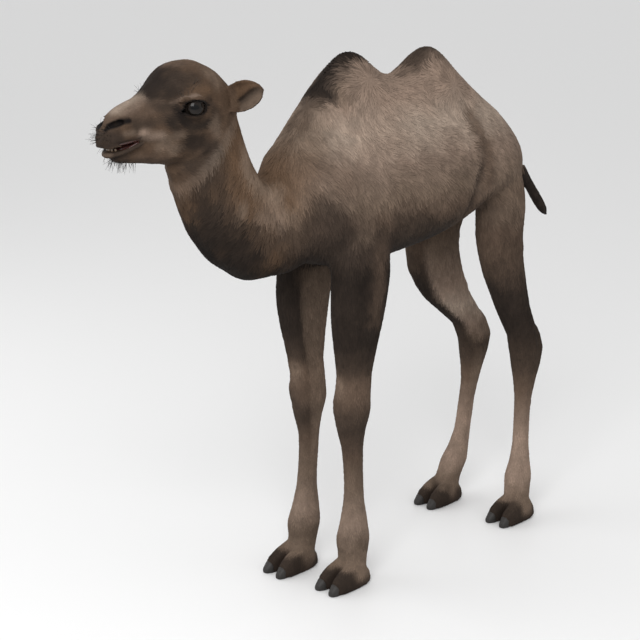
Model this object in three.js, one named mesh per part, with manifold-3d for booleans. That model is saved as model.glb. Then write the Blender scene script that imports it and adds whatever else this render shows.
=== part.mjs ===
// A life-size Bactrian camel calf, about three months old, standing still.
// Millimetres, +Z up. It faces -Y, its left side is +X, and it stands on the plane z = 0,
// with the origin under the middle of its length.
import * as THREE from "three";
import { mergeVertices } from "three/addons/utils/BufferGeometryUtils.js";
import Module from "manifold-3d";

const wasm = await Module();
wasm.setup();

// ---------------------------------------------------------------- driving dimensions
const GAP = 0.4; // width of every cut between two neighbouring pieces
const REACH = 1600; // longer than the animal, for the blocks that part it

const FORE_FOOT = { x: 85, y: -108 };
const HIND_FOOT = { x: 115, y: 540 };
const FOOT_Z = 73; // where the feet are parted off
const KNEE_Z = 476;
const HOCK_Z = 490;
const STIFLE_Z = 700;
const FORE_STRIDE = 28; // how far the right feet stand ahead of the left ones
const HIND_STRIDE = 52;

const HUMPS = [
  { y: -41, height: 131, length: 121, width: 78 },
  { y: 248, height: 122, length: 116, width: 78 },
];
const SADDLE_Y = 100; // the low point between the humps
const MOUTH = { y: -700, z: 1228 }; // its corners
const EYE = { x: 62, y: -575, z: 1290, radius: 25 };
const EAR = { base: [56, -464, 1293], tip: [138, -443, 1321], halfWidth: 34, thickness: 6, cup: 15, cut: 77 };
const TOOTH = { count: 6, spacing: 6.5, y: -760, z: 1211 };

// ---------------------------------------------------------------- helpers
const { clamp, lerp, smoothstep } = THREE.MathUtils;
const bump = (d, power = 2) => Math.exp(-(Math.abs(d) ** power));

// Smooth interpolation without overshoot through rows of [place, value, value, ...].
function profileOf(rows) {
  const last = rows.length - 1;
  const slope = (k, c) => (rows[k + 1][c] - rows[k][c]) / (rows[k + 1][0] - rows[k][0]);
  const tangent = (k, c) => {
    if (k === 0) return slope(0, c);
    if (k === last) return slope(last - 1, c);
    const [before, after] = [slope(k - 1, c), slope(k, c)];
    return before * after <= 0 ? 0 : (2 * before * after) / (before + after);
  };
  return (place) => {
    let k = 0;
    while (k < last - 1 && place > rows[k + 1][0]) k++;
    const span = rows[k + 1][0] - rows[k][0];
    const s = clamp((place - rows[k][0]) / span, 0, 1);
    const blend = s * s * (3 - 2 * s);
    return rows[k].slice(1).map((_, i) => {
      const ease = s * (1 - s) * ((1 - s) * tangent(k, i + 1) - s * tangent(k + 1, i + 1));
      return lerp(rows[k][i + 1], rows[k + 1][i + 1], blend) + span * ease;
    });
  };
}

// The closed geometry as a manifold-3d solid with its faces pointing out.
function solidOf(geometry) {
  const bare = new THREE.BufferGeometry()
    .setAttribute("position", geometry.getAttribute("position"))
    .setIndex(geometry.index);
  const merged = mergeVertices(bare, 1e-3);
  const corners = [...merged.index.array];
  const triVerts = new Uint32Array(
    corners.filter((_, i) => {
      const first = 3 * Math.floor(i / 3);
      return new Set(corners.slice(first, first + 3)).size === 3;
    }),
  );
  const vertProperties = merged.getAttribute("position").array;
  const build = (faces) => new wasm.Manifold(new wasm.Mesh({ numProp: 3, vertProperties, triVerts: faces }));
  const made = build(triVerts);
  return made.volume() > 0 ? made : build(triVerts.slice().reverse());
}

// A closed skin of rings along s = 0 to 1: place(s, across, up) gives the point whose
// direction in its ring is (across, up), on a circle pulled towards a square.
function loft(place, rings, sides, squareness = 2.2) {
  const ball = new THREE.SphereGeometry(1, sides, rings);
  const position = ball.getAttribute("position");
  const uv = ball.getAttribute("uv");
  for (let i = 0; i < position.count; i++) {
    const ring = Math.round((1 - uv.getY(i)) * rings);
    const s = clamp((ring - 1) / (rings - 2), 0, 1);
    const angle = 2 * Math.PI * uv.getX(i);
    const [across, up] = [Math.cos(angle), Math.sin(angle)].map(
      (c) => (ring % rings === 0 ? 0 : Math.sign(c) * Math.abs(c) ** (2 / squareness)),
    );
    position.setXYZ(i, ...place(s, across, up));
  }
  return solidOf(ball);
}

// Upright rings along Y. Rows: [y, top, widest height, bottom, half width].
function lengthwaysLoft(rows, rings, sides, shape = (p) => p, squareness = 2.2) {
  const profile = profileOf(rows);
  return loft(
    (s, across, up) => {
      const y = lerp(rows[0][0], rows.at(-1)[0], s);
      const [top, widest, bottom, halfWidth] = profile(y);
      return shape([across * halfWidth, y, widest + up * (up > 0 ? top - widest : widest - bottom)]);
    },
    rings,
    sides,
    squareness,
  );
}

// Level rings, for legs. Rows: [z, front y, back y, x, half width].
function uprightLoft(rows, rings, sides, shape = (p) => p, squareness = 2.3) {
  const profile = profileOf(rows);
  return loft(
    (s, across, up) => {
      const z = lerp(rows[0][0], rows.at(-1)[0], s);
      const [front, back, x, halfWidth] = profile(z);
      return shape([x + across * halfWidth, lerp(front, back, (1 + up) / 2), z]);
    },
    rings,
    sides,
    squareness,
  );
}

// Rings across a line in the middle plane. Rows: [place, y, z, half depth, half width].
function bentLoft(rows, rings, sides, squareness = 2.1) {
  const profile = profileOf(rows);
  return loft(
    (s, across, up) => {
      const [y, z, halfDepth, halfWidth] = profile(s);
      const [y0, z0] = profile(Math.max(0, s - 0.01));
      const [y1, z1] = profile(Math.min(1, s + 0.01));
      const run = Math.hypot(y1 - y0, z1 - z0);
      const depth = (up * halfDepth) / run;
      return [across * halfWidth, y - depth * (z1 - z0), z + depth * (y1 - y0)];
    },
    rings,
    sides,
    squareness,
  );
}

function ellipsoid([x, y, z], [rx, ry, rz], sides = 12) {
  const ball = new THREE.SphereGeometry(1, sides, Math.round(sides * 0.7));
  return solidOf(ball.scale(rx, ry, rz).translate(x, y, z));
}

// A prism across X over an outline of [y, z] corners.
function slab(outline, x0 = -REACH, x1 = REACH) {
  const shape = new THREE.Shape(outline.map(([y, z]) => new THREE.Vector2(y, z)));
  const prism = new THREE.ExtrudeGeometry(shape, { depth: x1 - x0, bevelEnabled: false });
  const placed = new THREE.BufferGeometry().setAttribute("position", prism.getAttribute("position"));
  // the outline's plane becomes YZ and its depth becomes X
  const turn = new THREE.Matrix4().set(0, 0, 1, x0, 1, 0, 0, 0, 0, 1, 0, 0, 0, 0, 0, 1);
  return solidOf(mergeVertices(placed.applyMatrix4(turn), 1e-3));
}

// All that lies under the floor.
const ground = () => slab([[-REACH, -REACH], [REACH, -REACH], [REACH, 0], [-REACH, 0]]);

const joined = (solids) => solids.reduce((a, b) => a.add(b));
const mirrored = (solid, side) => (side > 0 ? solid : solid.mirror([1, 0, 0]));

// ---------------------------------------------------------------- trunk and neck
function trunk() {
  // the back without its humps
  const rows = [
    [-328, 1060, 990, 940, 26],
    [-318, 1084, 990, 914, 56],
    [-285, 1119, 990, 896, 84],
    [-235, 1171, 995, 876, 106],
    [-180, 1213, 1000, 856, 122],
    [-110, 1239, 1000, 842, 138],
    [-20, 1246, 1005, 837, 154],
    [90, 1248, 1010, 847, 166],
    [200, 1248, 1015, 864, 170],
    [300, 1243, 1020, 896, 166],
    [380, 1230, 1028, 936, 154],
    [450, 1200, 1036, 950, 135],
    [510, 1152, 1040, 944, 108],
    [560, 1097, 1032, 942, 79],
    [596, 1041, 1014, 952, 46],
    [614, 1000, 990, 970, 18],
  ];
  const shape = ([x, y, z]) => {
    const side = Math.abs(x);
    const lift = HUMPS.map((h) => h.height * bump((y - h.y) / h.length, 2.2) * bump(side / h.width));
    const shoulder = 12 * bump((y + 120) / 90) * bump((z - 1000) / 120);
    const haunch = 8 * bump((y - 480) / 80) * bump((z - 1030) / 90);
    const wider = (shoulder + haunch) * Math.sign(x) * Math.min(1, side / 60);
    return [x + wider, y, z + (lift[0] + lift[1]) * smoothstep(z, 1060, 1200)];
  };
  return lengthwaysLoft(rows, 27, 20, shape);
}

const neck = () =>
  bentLoft(
    [
      [0, -90, 1010, 130, 112],
      [0.2, -215, 987, 119, 106],
      [0.4, -329, 964, 124, 94],
      [0.6, -419, 1015, 117, 82],
      [0.8, -472, 1106, 107, 74],
      [1, -511, 1230, 102, 68],
    ],
    11,
    16,
  );

const tail = () =>
  bentLoft(
    [
      [0, 570, 1066, 24, 22],
      [0.2, 622, 1016, 21, 20],
      [0.5, 690, 940, 14, 13],
      [0.8, 748, 872, 15, 14],
      [1, 778, 838, 5, 5],
    ],
    9,
    8,
  );

// ---------------------------------------------------------------- head
function upperHead() {
  const rows = [
    [-786, 1244, 1232, 1221, 14],
    [-780, 1258, 1235, 1217, 25],
    [-768, 1271, 1240, 1214, 34],
    [-748, 1290, 1246, 1212, 41],
    [-715, 1305, 1252, 1212, 44],
    [-680, 1316, 1258, 1206, 46],
    [-650, 1338, 1264, 1190, 52],
    [-622, 1366, 1272, 1172, 63],
    [-585, 1384, 1282, 1160, 71],
    [-540, 1387, 1288, 1156, 75],
    [-495, 1371, 1288, 1162, 73],
    [-455, 1338, 1278, 1176, 63],
    [-430, 1302, 1262, 1200, 44],
    [-418, 1278, 1250, 1220, 20],
  ];
  const pair = (make) => [make(1), make(-1)];
  const orbits = pair((side) => ellipsoid([side * 60, EYE.y - 4, EYE.z + 1], [29, 42, 31], 10));
  const cheeks = pair((side) => ellipsoid([side * 33, -550, 1212], [31, 62, 44], 8));
  const nostrils = pair((side) => ellipsoid([side * 20, -738, 1258], [20, 27, 18], 8));
  const skull = joined([lengthwaysLoft(rows, 20, 16), ...orbits, ...cheeks, ...nostrils]);
  const openings = pair((side) => ellipsoid([side * 90, EYE.y, EYE.z], [14, 22, 16], 8));
  return openings.reduce((head, opening) => head.subtract(opening), skull);
}

const lowerJaw = () =>
  lengthwaysLoft(
    [
      [-770, 1205, 1202, 1197, 8],
      [-763, 1209, 1202, 1190, 21],
      [-746, 1214, 1200, 1181, 29],
      [-715, 1222, 1200, 1174, 31],
      [-670, 1228, 1204, 1168, 38],
      [-620, 1230, 1204, 1160, 46],
      [-560, 1228, 1200, 1160, 50],
      [-520, 1215, 1196, 1176, 40],
    ],
    10,
    12,
  );

// The front teeth, in an arc along the lower lip.
const teeth = () =>
  [...Array(TOOTH.count).keys()].map((k) => {
    const x = (k - (TOOTH.count - 1) / 2) * TOOTH.spacing;
    return ellipsoid([x, TOOTH.y + x * x * 0.03, TOOTH.z], [3.2, 3, 7.5], 6);
  });

// The open mouth, seen from the side as a wedge behind the lips.
const mouth = () => slab([[MOUTH.y, MOUTH.z], [-800, 1221], [-800, 1201]]);

// An upright leaf with a hollow front, of the left ear.
function ear() {
  const [base, tip] = [EAR.base, EAR.tip].map((p) => new THREE.Vector3(...p));
  const axis = tip.clone().sub(base);
  const front = new THREE.Vector3(0.3, -1, 0.1).cross(axis).cross(axis).negate().normalize();
  const rise = front.clone().cross(axis).normalize();
  const halfWidth = profileOf([
    [0, 14],
    [0.15, 22],
    [0.4, 31],
    [0.65, EAR.halfWidth],
    [0.88, 21],
    [1, 4],
  ]);
  return loft(
    (s, across, up) => {
      const [half] = halfWidth(s);
      const bend = EAR.cup * across * across * Math.min(1, 2 * (1 - s)) - EAR.cup * 0.4;
      const point = base.clone().addScaledVector(axis, s);
      point.addScaledVector(rise, across * half).addScaledVector(front, bend + up * EAR.thickness);
      return point.toArray();
    },
    7,
    10,
    2,
  );
}

// ---------------------------------------------------------------- legs
function foreleg(side) {
  const rows = [
    [26, -132, -58, 85, 32],
    [64, -132, -57, 84, 34],
    [102, -138, -45, 83, 38],
    [144, -137, -45, 83, 38],
    [185, -123, -54, 83, 30],
    [228, -118, -60, 83, 25],
    [270, -117, -62, 83, 23],
    [353, -121, -63, 81, 24],
    [394, -127, -61, 80, 28],
    [436, -141, -54, 80, 36],
    [KNEE_Z, -149, -43, 80, 43],
    [516, -146, -44, 82, 41],
    [556, -144, -47, 86, 38],
    [595, -150, -43, 90, 41],
    [634, -158, -35, 92, 44],
    [673, -167, -27, 95, 47],
    [749, -178, -9, 99, 51],
    [840, -176, 6, 97, 54],
    [910, -166, 8, 88, 56],
    [970, -152, 6, 76, 50],
  ];
  const step = side > 0 ? 0 : FORE_STRIDE;
  const shape = ([x, y, z]) => [x, y - step * Math.max(0, 1 - z / 350), z];
  return mirrored(joined([uprightLoft(rows, 21, 10, shape), foot(FORE_FOOT.x, FORE_FOOT.y - step)]), side);
}

function hindleg(side) {
  const rows = [
    [26, 508, 584, 115, 31],
    [60, 508, 584, 114, 32],
    [100, 511, 600, 108, 36],
    [145, 526, 602, 104, 30],
    [190, 545, 600, 100, 23],
    [236, 550, 602, 98, 21],
    [300, 552, 604, 97, 21],
    [370, 554, 614, 95, 23],
    [415, 545, 627, 95, 29],
    [460, 536, 642, 95, 36],
    [HOCK_Z, 529, 648, 95, 38],
    [520, 522, 641, 96, 37],
    [560, 504, 614, 98, 38],
    [603, 472, 583, 101, 40],
    [652, 442, 558, 104, 43],
    [699, 416, 543, 106, 46],
    [744, 394, 533, 104, 49],
    [787, 380, 526, 102, 50],
    [830, 370, 523, 100, 52],
    [880, 366, 526, 98, 54],
    [940, 372, 536, 92, 54],
    [1010, 396, 536, 78, 48],
    [1060, 426, 540, 64, 36],
  ];
  const step = side > 0 ? 0 : HIND_STRIDE;
  const shape = ([x, y, z]) => {
    const below = Math.max(0, 1 - z / (HOCK_Z + 30)) ** 1.3;
    const above = smoothstep(z, HOCK_Z - 20, 640) * (1 - smoothstep(z, 800, 930));
    const front = clamp((560 - y) / 120, 0, 1);
    return [x, y - step * (below + above * lerp(0.1, 1.4, front)), z];
  };
  return mirrored(joined([uprightLoft(rows, 24, 10, shape), foot(HIND_FOOT.x, HIND_FOOT.y - step)]), side);
}

// A left foot on two toes, around an upright line through (x, y); the ground cuts its sole flat.
function foot(x, y) {
  const rows = [
    [-91, 15, 8, 0, 7],
    [-84, 27, 10, -6, 14],
    [-70, 43, 12, -14, 20],
    [-48, 53, 14, -16, 23],
    [-20, 69, 16, -16, 25],
    [12, 78, 16, -16, 25],
    [38, 56, 16, -14, 21],
    [51, 32, 14, -4, 12],
  ];
  const toe = (side) => lengthwaysLoft(rows, 7, 8, ([a, b, c]) => [a + side * (21 - b / 22), b, c]);
  return joined([toe(1), toe(-1)]).translate([x, y, 0]);
}

// ---------------------------------------------------------------- parting
// A plate GAP thick that cuts the body along a line of [y, z] points, between two X.
function plate(line, x0 = -REACH, x1 = REACH) {
  const edge = (way) =>
    line.map(([y, z], i) => {
      const [before, after] = [line[Math.max(0, i - 1)], line[Math.min(line.length - 1, i + 1)]];
      const [dy, dz] = [after[0] - before[0], after[1] - before[1]];
      const reach = (way * GAP) / 2 / Math.hypot(dy, dz);
      return [y - dz * reach, z + dy * reach];
    });
  return slab([...edge(-1), ...edge(1).reverse()], x0, x1);
}

// The same plate on the left and on the right.
const plates = (line, x0, x1) => [plate(line, x0, x1), plate(line, -x1, -x0)];

// Plates across the neck and body, from the muzzle back.
const bodyCuts = () =>
  [
    [[MOUTH.y - 12, MOUTH.z - 2], [MOUTH.y, MOUTH.z - 2], [-582, 1158]], // lower jaw
    [[-340, 1244], [-660, 1136]], // head
    [[-330, 1154], [-650, 1054]], // upper neck
    [[-322, 1130], [-520, 862]], // middle of the neck
    [[-296, 1190], [-268, 800]], // neck off the trunk
    [[-228, 1214], [SADDLE_Y, 1310], [440, 1224]], // humps, over the saddle
    [[636, 968], [668, 1002]], // tail
  ].map((line) => plate(line));

// Plates across a pair of legs, inside to outside.
function legCuts() {
  const across = (z, y, halfLength) => [[y - halfLength, z], [y + halfLength, z]];
  return [
    plates(across(838, -90, 150), 38, 200),
    plates(across(KNEE_Z, -90, 150), 20, 200),
    plates(across(FOOT_Z, -90, 150), 20, 200),
    plates([[300, 882], [620, 966]], 34, 240),
    plates(across(STIFLE_Z, 475, 225), 30, 240),
    plates(across(HOCK_Z, 475, 225), 30, 240),
    plates(across(FOOT_Z, 550, 150), 30, 240),
  ].flat();
}

// A plate through both nails of each foot, leaning back from the sole to the top.
function nailCuts(foot, stride) {
  const line = (y) => [[y - 80, -10], [y - 52, 70]];
  const [inner, outer] = [foot.x - 60, foot.x + 60];
  return [plate(line(foot.y), inner, outer), plate(line(foot.y - stride), -outer, -inner)];
}

function earCuts() {
  const rim = [[-540, 1200], [-380, 1200], [-380, 1400], [-540, 1400]];
  return [slab(rim, EAR.cut, EAR.cut + GAP), slab(rim, -EAR.cut - GAP, -EAR.cut)];
}

// ---------------------------------------------------------------- assembly
const COLORS = {
  coat: 0x75675a,
  head: 0x63544a,
  neck: 0x6a5a4b,
  hump: 0x4b4139,
  shank: 0x84766a,
  foot: 0x4d4138,
  nail: 0x2c2724,
  tail: 0x2e2723,
  eye: 0x14110f,
};

// name, a point near the piece's middle, color
const MIDDLE_PIECES = [
  ["head", [0, -593, 1274], COLORS.head],
  ["lower_jaw", [0, -679, 1192], COLORS.head],
  ["neck_upper", [0, -484, 1151], COLORS.neck],
  ["neck_middle", [0, -458, 1029], COLORS.neck],
  ["neck_base", [0, -376, 984], COLORS.neck],
  ["trunk", [0, 185, 1068], COLORS.coat],
  ["hump_front", [0, -57, 1298], COLORS.hump],
  ["hump_rear", [0, 272, 1296], COLORS.hump],
  ["tail", [0, 711, 915], COLORS.tail],
];
// the same for the left ones of a pair, with SIDE in the name
const PAIRED_PIECES = [
  ["ear_SIDE", [108, -451, 1309], COLORS.head],
  ["foreleg_SIDE_upper", [95, -90, 657], COLORS.coat],
  ["foreleg_SIDE_shank", [80, -100, 274], COLORS.shank],
  ["foreleg_SIDE_foot", [85, -130, 36], COLORS.foot],
  ["foreleg_SIDE_nail_inner", [61, -197, 25], COLORS.nail],
  ["foreleg_SIDE_nail_outer", [109, -197, 25], COLORS.nail],
  ["hindleg_SIDE_thigh", [97, 440, 820], COLORS.coat],
  ["hindleg_SIDE_gaskin", [105, 512, 595], COLORS.coat],
  ["hindleg_SIDE_shank", [102, 565, 282], COLORS.shank],
  ["hindleg_SIDE_foot", [115, 502, 37], COLORS.foot],
  ["hindleg_SIDE_nail_inner", [91, 439, 25], COLORS.nail],
  ["hindleg_SIDE_nail_outer", [139, 439, 25], COLORS.nail],
];

const camel = new THREE.Group();
function add(name, solid, color) {
  const mesh = solid.getMesh();
  const geometry = new THREE.BufferGeometry()
    .setAttribute("position", new THREE.BufferAttribute(mesh.vertProperties, 3))
    .setIndex(new THREE.BufferAttribute(mesh.triVerts, 1));
  geometry.computeVertexNormals();
  const roughness = color === COLORS.eye ? 0.05 : 0.9;
  const node = new THREE.Mesh(geometry, new THREE.MeshStandardMaterial({ color, roughness }));
  node.name = name;
  camel.add(node);
}

const SIDES = { left: 1, right: -1 };
const both = (make) => Object.values(SIDES).map(make);
const eyeball = (side, radius) => ellipsoid([side * EYE.x, EYE.y, EYE.z], [radius, radius, radius], 10);

const body = joined([
  trunk(),
  neck(),
  upperHead(),
  lowerJaw(),
  tail(),
  ...both((side) => mirrored(ear(), side)),
  ...both(foreleg),
  ...both(hindleg),
]).subtract(mouth());
const cutters = [
  ground(),
  ...both((side) => eyeball(side, EYE.radius + GAP)),
  ...bodyCuts(),
  ...legCuts(),
  ...nailCuts(FORE_FOOT, FORE_STRIDE),
  ...nailCuts(HIND_FOOT, HIND_STRIDE),
  ...earCuts(),
];
const pieces = cutters.reduce((rest, cutter) => rest.subtract(cutter), joined([body, ...teeth()])).decompose();

const labels = [
  ...MIDDLE_PIECES,
  ...Object.entries(SIDES).flatMap(([word, side]) =>
    PAIRED_PIECES.map(([name, [x, y, z], color]) => [name.replace("SIDE", word), [side * x, y, z], color]),
  ),
];
for (const piece of pieces) {
  const box = piece.boundingBox();
  const middle = box.min.map((low, axis) => (low + box.max[axis]) / 2);
  const distance = ([, place]) => Math.hypot(...place.map((c, axis) => c - middle[axis]));
  const [name, , color] = labels.reduce((best, label) => (distance(label) < distance(best) ? label : best));
  add(name, piece, color);
}
for (const [word, side] of Object.entries(SIDES)) add(`eye_${word}`, eyeball(side, EYE.radius), COLORS.eye);

export default camel;
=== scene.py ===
"""A life-size Bactrian camel calf: skin, coat, eyes, nails and mouth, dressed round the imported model."""

import math

import bpy
import numpy as np
import openvdb
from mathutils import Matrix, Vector


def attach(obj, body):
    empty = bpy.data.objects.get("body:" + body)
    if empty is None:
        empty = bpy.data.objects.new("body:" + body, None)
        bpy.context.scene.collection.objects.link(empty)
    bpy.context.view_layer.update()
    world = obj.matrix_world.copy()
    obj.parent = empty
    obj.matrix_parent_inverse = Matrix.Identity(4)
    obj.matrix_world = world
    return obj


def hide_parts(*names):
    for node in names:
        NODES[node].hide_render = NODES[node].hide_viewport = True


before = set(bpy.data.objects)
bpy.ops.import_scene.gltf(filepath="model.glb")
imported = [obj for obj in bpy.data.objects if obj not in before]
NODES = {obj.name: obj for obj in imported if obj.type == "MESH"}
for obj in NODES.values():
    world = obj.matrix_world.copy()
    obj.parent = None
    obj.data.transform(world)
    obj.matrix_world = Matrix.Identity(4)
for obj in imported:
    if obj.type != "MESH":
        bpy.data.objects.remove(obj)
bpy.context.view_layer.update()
MM = 0.001

# ------------------------------------------------------------------ camera
TARGET = Vector((0.0, -0.1306, 0.7032))
AZIMUTH, ELEVATION, DISTANCE = math.radians(46.03), math.radians(16.25), 3.7729
back = Vector((
    math.sin(AZIMUTH) * math.cos(ELEVATION),
    -math.cos(AZIMUTH) * math.cos(ELEVATION),
    math.sin(ELEVATION),
))
camera = bpy.data.objects.new("camera", bpy.data.cameras.new("camera"))
camera.data.sensor_width, camera.data.lens = 36.0, 84.375
camera.location = TARGET + DISTANCE * back
camera.rotation_euler = (-back).to_track_quat("-Z", "Y").to_euler()
bpy.context.scene.collection.objects.link(camera)
bpy.context.scene.camera = camera

# ------------------------------------------------------------------ landmarks, millimetres
EYE = np.array([62.0, -575.0, 1290.0])
EYE_RADIUS = 25.0
FORE_FOOT, HIND_FOOT = (85.0, -108.0), (115.0, 540.0)  # middles of the left feet, x and y
FORE_STRIDE, HIND_STRIDE = 28.0, 52.0  # how far the right feet stand ahead
MIDWAY_Y = 200.0  # between the forelegs and the hind legs
HOCK_Z, LEG_TOP_Z, BACK_Z = 490.0, 850.0, 1175.0
# how far the skin lies inside the solids, by height, and on the head and the tail
DEPTH_ROWS = [(0, -1.6), (20, 0.0), (90, 0.6), (400, 0.8), (640, 1.8), (900, 2.5), (1400, 2.5)]
HEAD_DEPTH, TAIL_DEPTH = 1.4, 0.5

rng = np.random.default_rng(20)


# ------------------------------------------------------------------ small maths
def smoothstep(x, a, b):
    """0 up to a and 1 from b on, with a soft rise between them."""
    t = np.clip((x - a) / (b - a), 0, 1)
    return t * t * (3 - 2 * t)


def unit(v):
    """The same vectors, each 1 long."""
    return v / np.maximum(np.linalg.norm(v, axis=-1, keepdims=True), 1e-9)


def smooth_min(a, b, k):
    """The smaller of two values, rounded off where they are within k of each other."""
    h = np.maximum(k - np.abs(a - b), 0) / k
    return np.minimum(a, b) - h * h * k / 4


def mix(a, b, share):
    """a where share is 0 and b where it is 1; each row of a table may have a share of its own."""
    if np.ndim(share) == 1 and np.ndim(a) == 2:
        share = share[:, None]
    return a * (1 - share) + b * share


def towards(colour, goal, share):
    """Rows of colour, each moved towards the goal by its own share of the way."""
    return colour + (goal - colour) * share[:, None]


def on_left(p):
    """The same points with x made positive."""
    return np.abs(p) * [1, 0, 0] + p * [0, 1, 1]


def side_signs(p):
    """-1 or 1 for x by the side that each point lies on, and 1 for y and z."""
    return np.where(p[:, :1] < 0, -1.0, 1.0) * [1, 0, 0] + [0, 1, 1]


def between_crossings(values, first, share, wrap=None):
    """Values of a lattice inside its cells, from each cell's first crossing and the shares across it."""
    total = 0
    for far in np.ndindex(2, 2, 2):
        index = tuple((i + k) % wrap if wrap else i + k for i, k in zip(first, far))
        x, y, z = (f if k else 1 - f for f, k in zip(share, far))
        total = total + x * y * z * values[index]
    return total


def segment_distance(p, a, b):
    """Distance from points to the segment a-b, and how far along it they lie, 0 to 1."""
    a, b = np.asarray(a, float), np.asarray(b, float)
    along = b - a
    t = np.clip(((p - a) @ along) / (along @ along), 0, 1)
    return np.linalg.norm(p - a - t[..., None] * along, axis=-1), t


def line_distance(p, line):
    """Distance to a polyline, and how far along it, 0 to 1."""
    best, place = np.full(p.shape[:-1], 1e9), np.zeros(p.shape[:-1])
    for i in range(len(line) - 1):
        d, t = segment_distance(p, line[i], line[i + 1])
        nearer = d < best
        best = np.where(nearer, d, best)
        place = np.where(nearer, (i + t) / (len(line) - 1), place)
    return best, place


class Noise:
    """Smooth noise of about -1 to 1 over a lattice of the given cell, the same each run."""

    PERIOD = 32

    def __init__(self, cell, seed):
        self.cell = np.asarray(cell, float)
        self.table = np.random.default_rng(seed).uniform(-1, 1, (self.PERIOD,) * 3)

    def __call__(self, p):
        q = p / self.cell
        i = np.floor(q).astype(int)
        f = q - i
        f = f * f * (3 - 2 * f)
        return between_crossings(self.table, np.moveaxis(i, -1, 0), np.moveaxis(f, -1, 0), self.PERIOD)


# ------------------------------------------------------------------ the solids as distance fields
def solid_mesh(name):
    """Points, in millimetres, and triangles of one node."""
    mesh = NODES[name].data
    points = np.empty(len(mesh.vertices) * 3, np.float32)
    mesh.vertices.foreach_get("co", points)
    mesh.calc_loop_triangles()
    faces = np.empty(len(mesh.loop_triangles) * 3, np.int32)
    mesh.loop_triangles.foreach_get("vertices", faces)
    return points.reshape(-1, 3) / MM, faces.reshape(-1, 3).astype(np.uint32)


class Grid:
    """A regular grid of values over a box, in millimetres."""

    def __init__(self, low, high, step):
        self.low, self.step = np.asarray(low, float), float(step)
        self.shape = tuple(np.ceil((np.asarray(high) - self.low) / step).astype(int) + 1)
        self.values = None

    def fill(self, points, faces, band):
        """Signed distance to a closed mesh, cut off at band."""
        level = openvdb.FloatGrid.createLevelSetFromPolygons(
            (points - self.low).astype(np.float32), triangles=faces,
            transform=openvdb.createLinearTransform(voxelSize=self.step), halfWidth=band / self.step,
        )
        self.values = np.empty(self.shape, np.float32)
        level.copyToArray(self.values)
        return self

    def blurred(self, sigma):
        """The values smoothed over sigma millimetres, keeping curved forms at their size."""
        once = gaussian(self.values, sigma / self.step)
        return 2 * once - gaussian(once, sigma / self.step)

    def weights(self, axis, places):
        """The crossing before each place on an axis, and the share of the cell past it."""
        f = np.clip((places - self.low[axis]) / self.step, 0, self.shape[axis] - 1.001)
        i = f.astype(int)
        return i, (f - i).astype(np.float32)

    def along_axes(self, values, axes):
        """Values at every crossing of three lists of coordinates."""
        for axis in range(3):
            i, f = self.weights(axis, axes[axis])
            shape = [1, 1, 1]
            shape[axis] = -1
            f = f.reshape(shape)
            values = values.take(i, axis) * (1 - f) + values.take(i + 1, axis) * f
        return values

    def at(self, values, p):
        """Values at points."""
        return between_crossings(values, *zip(*(self.weights(axis, p[..., axis]) for axis in range(3))))


def gaussian(a, sigma):
    """A volume blurred over sigma cells, with its edge values carried outwards."""
    reach = max(1, int(np.ceil(2.6 * sigma)))
    kernel = np.exp(-0.5 * (np.arange(-reach, reach + 1) / sigma) ** 2)
    kernel = (kernel / kernel.sum()).astype(np.float32)
    for axis in range(3):
        pad = [(reach, reach) if i == axis else (0, 0) for i in range(3)]
        wide = np.pad(a, pad, mode="edge")
        n = a.shape[axis]
        out = np.zeros_like(a)
        for k, w in enumerate(kernel):
            window = [slice(None)] * 3
            window[axis] = slice(k, k + n)
            out += w * wide[tuple(window)]
        a = out
    return a


FLESH = [n for n in NODES if not n.startswith("eye")]


def outer_shell(names):
    """The solids' faces without those that look into a neighbour across a cut."""
    meshes, grids = {}, {}
    for name in names:
        points, faces = solid_mesh(name)
        meshes[name] = points, faces
        grids[name] = Grid(points.min(0) - 12, points.max(0) + 12, 3).fill(points, faces, 9)
    all_points, all_faces, count = [], [], 0
    for name, (points, faces) in meshes.items():
        corners = points[faces].astype(float)
        normal = unit(np.cross(corners[:, 1] - corners[:, 0], corners[:, 2] - corners[:, 0]))
        probe = corners.mean(1) + 1.6 * normal
        inside = np.zeros(len(faces), bool)
        for other, grid in grids.items():
            if other != name:
                high = grid.low + grid.step * (np.array(grid.shape) - 1)
                near = ((probe > grid.low) & (probe < high)).all(1)
                if near.any():
                    inside[near] |= grid.at(grid.values, probe[near]) < 0
        all_points.append(points)
        all_faces.append(faces[~inside] + count)
        count += len(points)
    return np.concatenate(all_points), np.concatenate(all_faces).astype(np.uint32)


TAIL_START = 640.0


def tail_place(p_y, p_z):
    """How far back a place lies, measured along the slope of the rump, to compare with TAIL_START."""
    return p_y - 0.9 * (p_z - 1000)


shell = outer_shell([n for n in FLESH if not n.startswith("ear")])
body_grid = Grid((-210, -640, -40), (210, 830, 1430), 6).fill(*shell, 60)
LEG_FORM, FLANK_FORM, TAIL_FORM = body_grid.blurred(8), body_grid.blurred(17), body_grid.blurred(5)
x, y, z = (body_grid.low[i] + body_grid.step * np.arange(body_grid.shape[i]) for i in range(3))
x, y, z = x[:, None, None], y[None, :, None], z[None, None, :]
wide = smoothstep(z, 640, 800).astype(np.float32)
thin = smoothstep(tail_place(y, z), TAIL_START, TAIL_START + 25)
thin = (thin * smoothstep(z, 780, 810)).astype(np.float32)
BODY = mix(mix(LEG_FORM, FLANK_FORM, wide), TAIL_FORM, thin)

head_grid = Grid((-150, -810, 1120), (150, -380, 1420), 3).fill(*shell, 24)
HEAD = head_grid.blurred(4.5)
FEET = []
for front, rear in ((-240, -20), (380, 640)):
    grid = Grid((-180, front, -30), (180, rear, 130), 3).fill(*shell, 18)
    FEET.append((grid, grid.blurred(3.2)))


def in_head(p_y, p_z):
    """1 in the head, 0 in the neck and body."""
    return smoothstep(-(p_y + 470) + 0.9 * (p_z - 1210), -30, 30)


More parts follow.
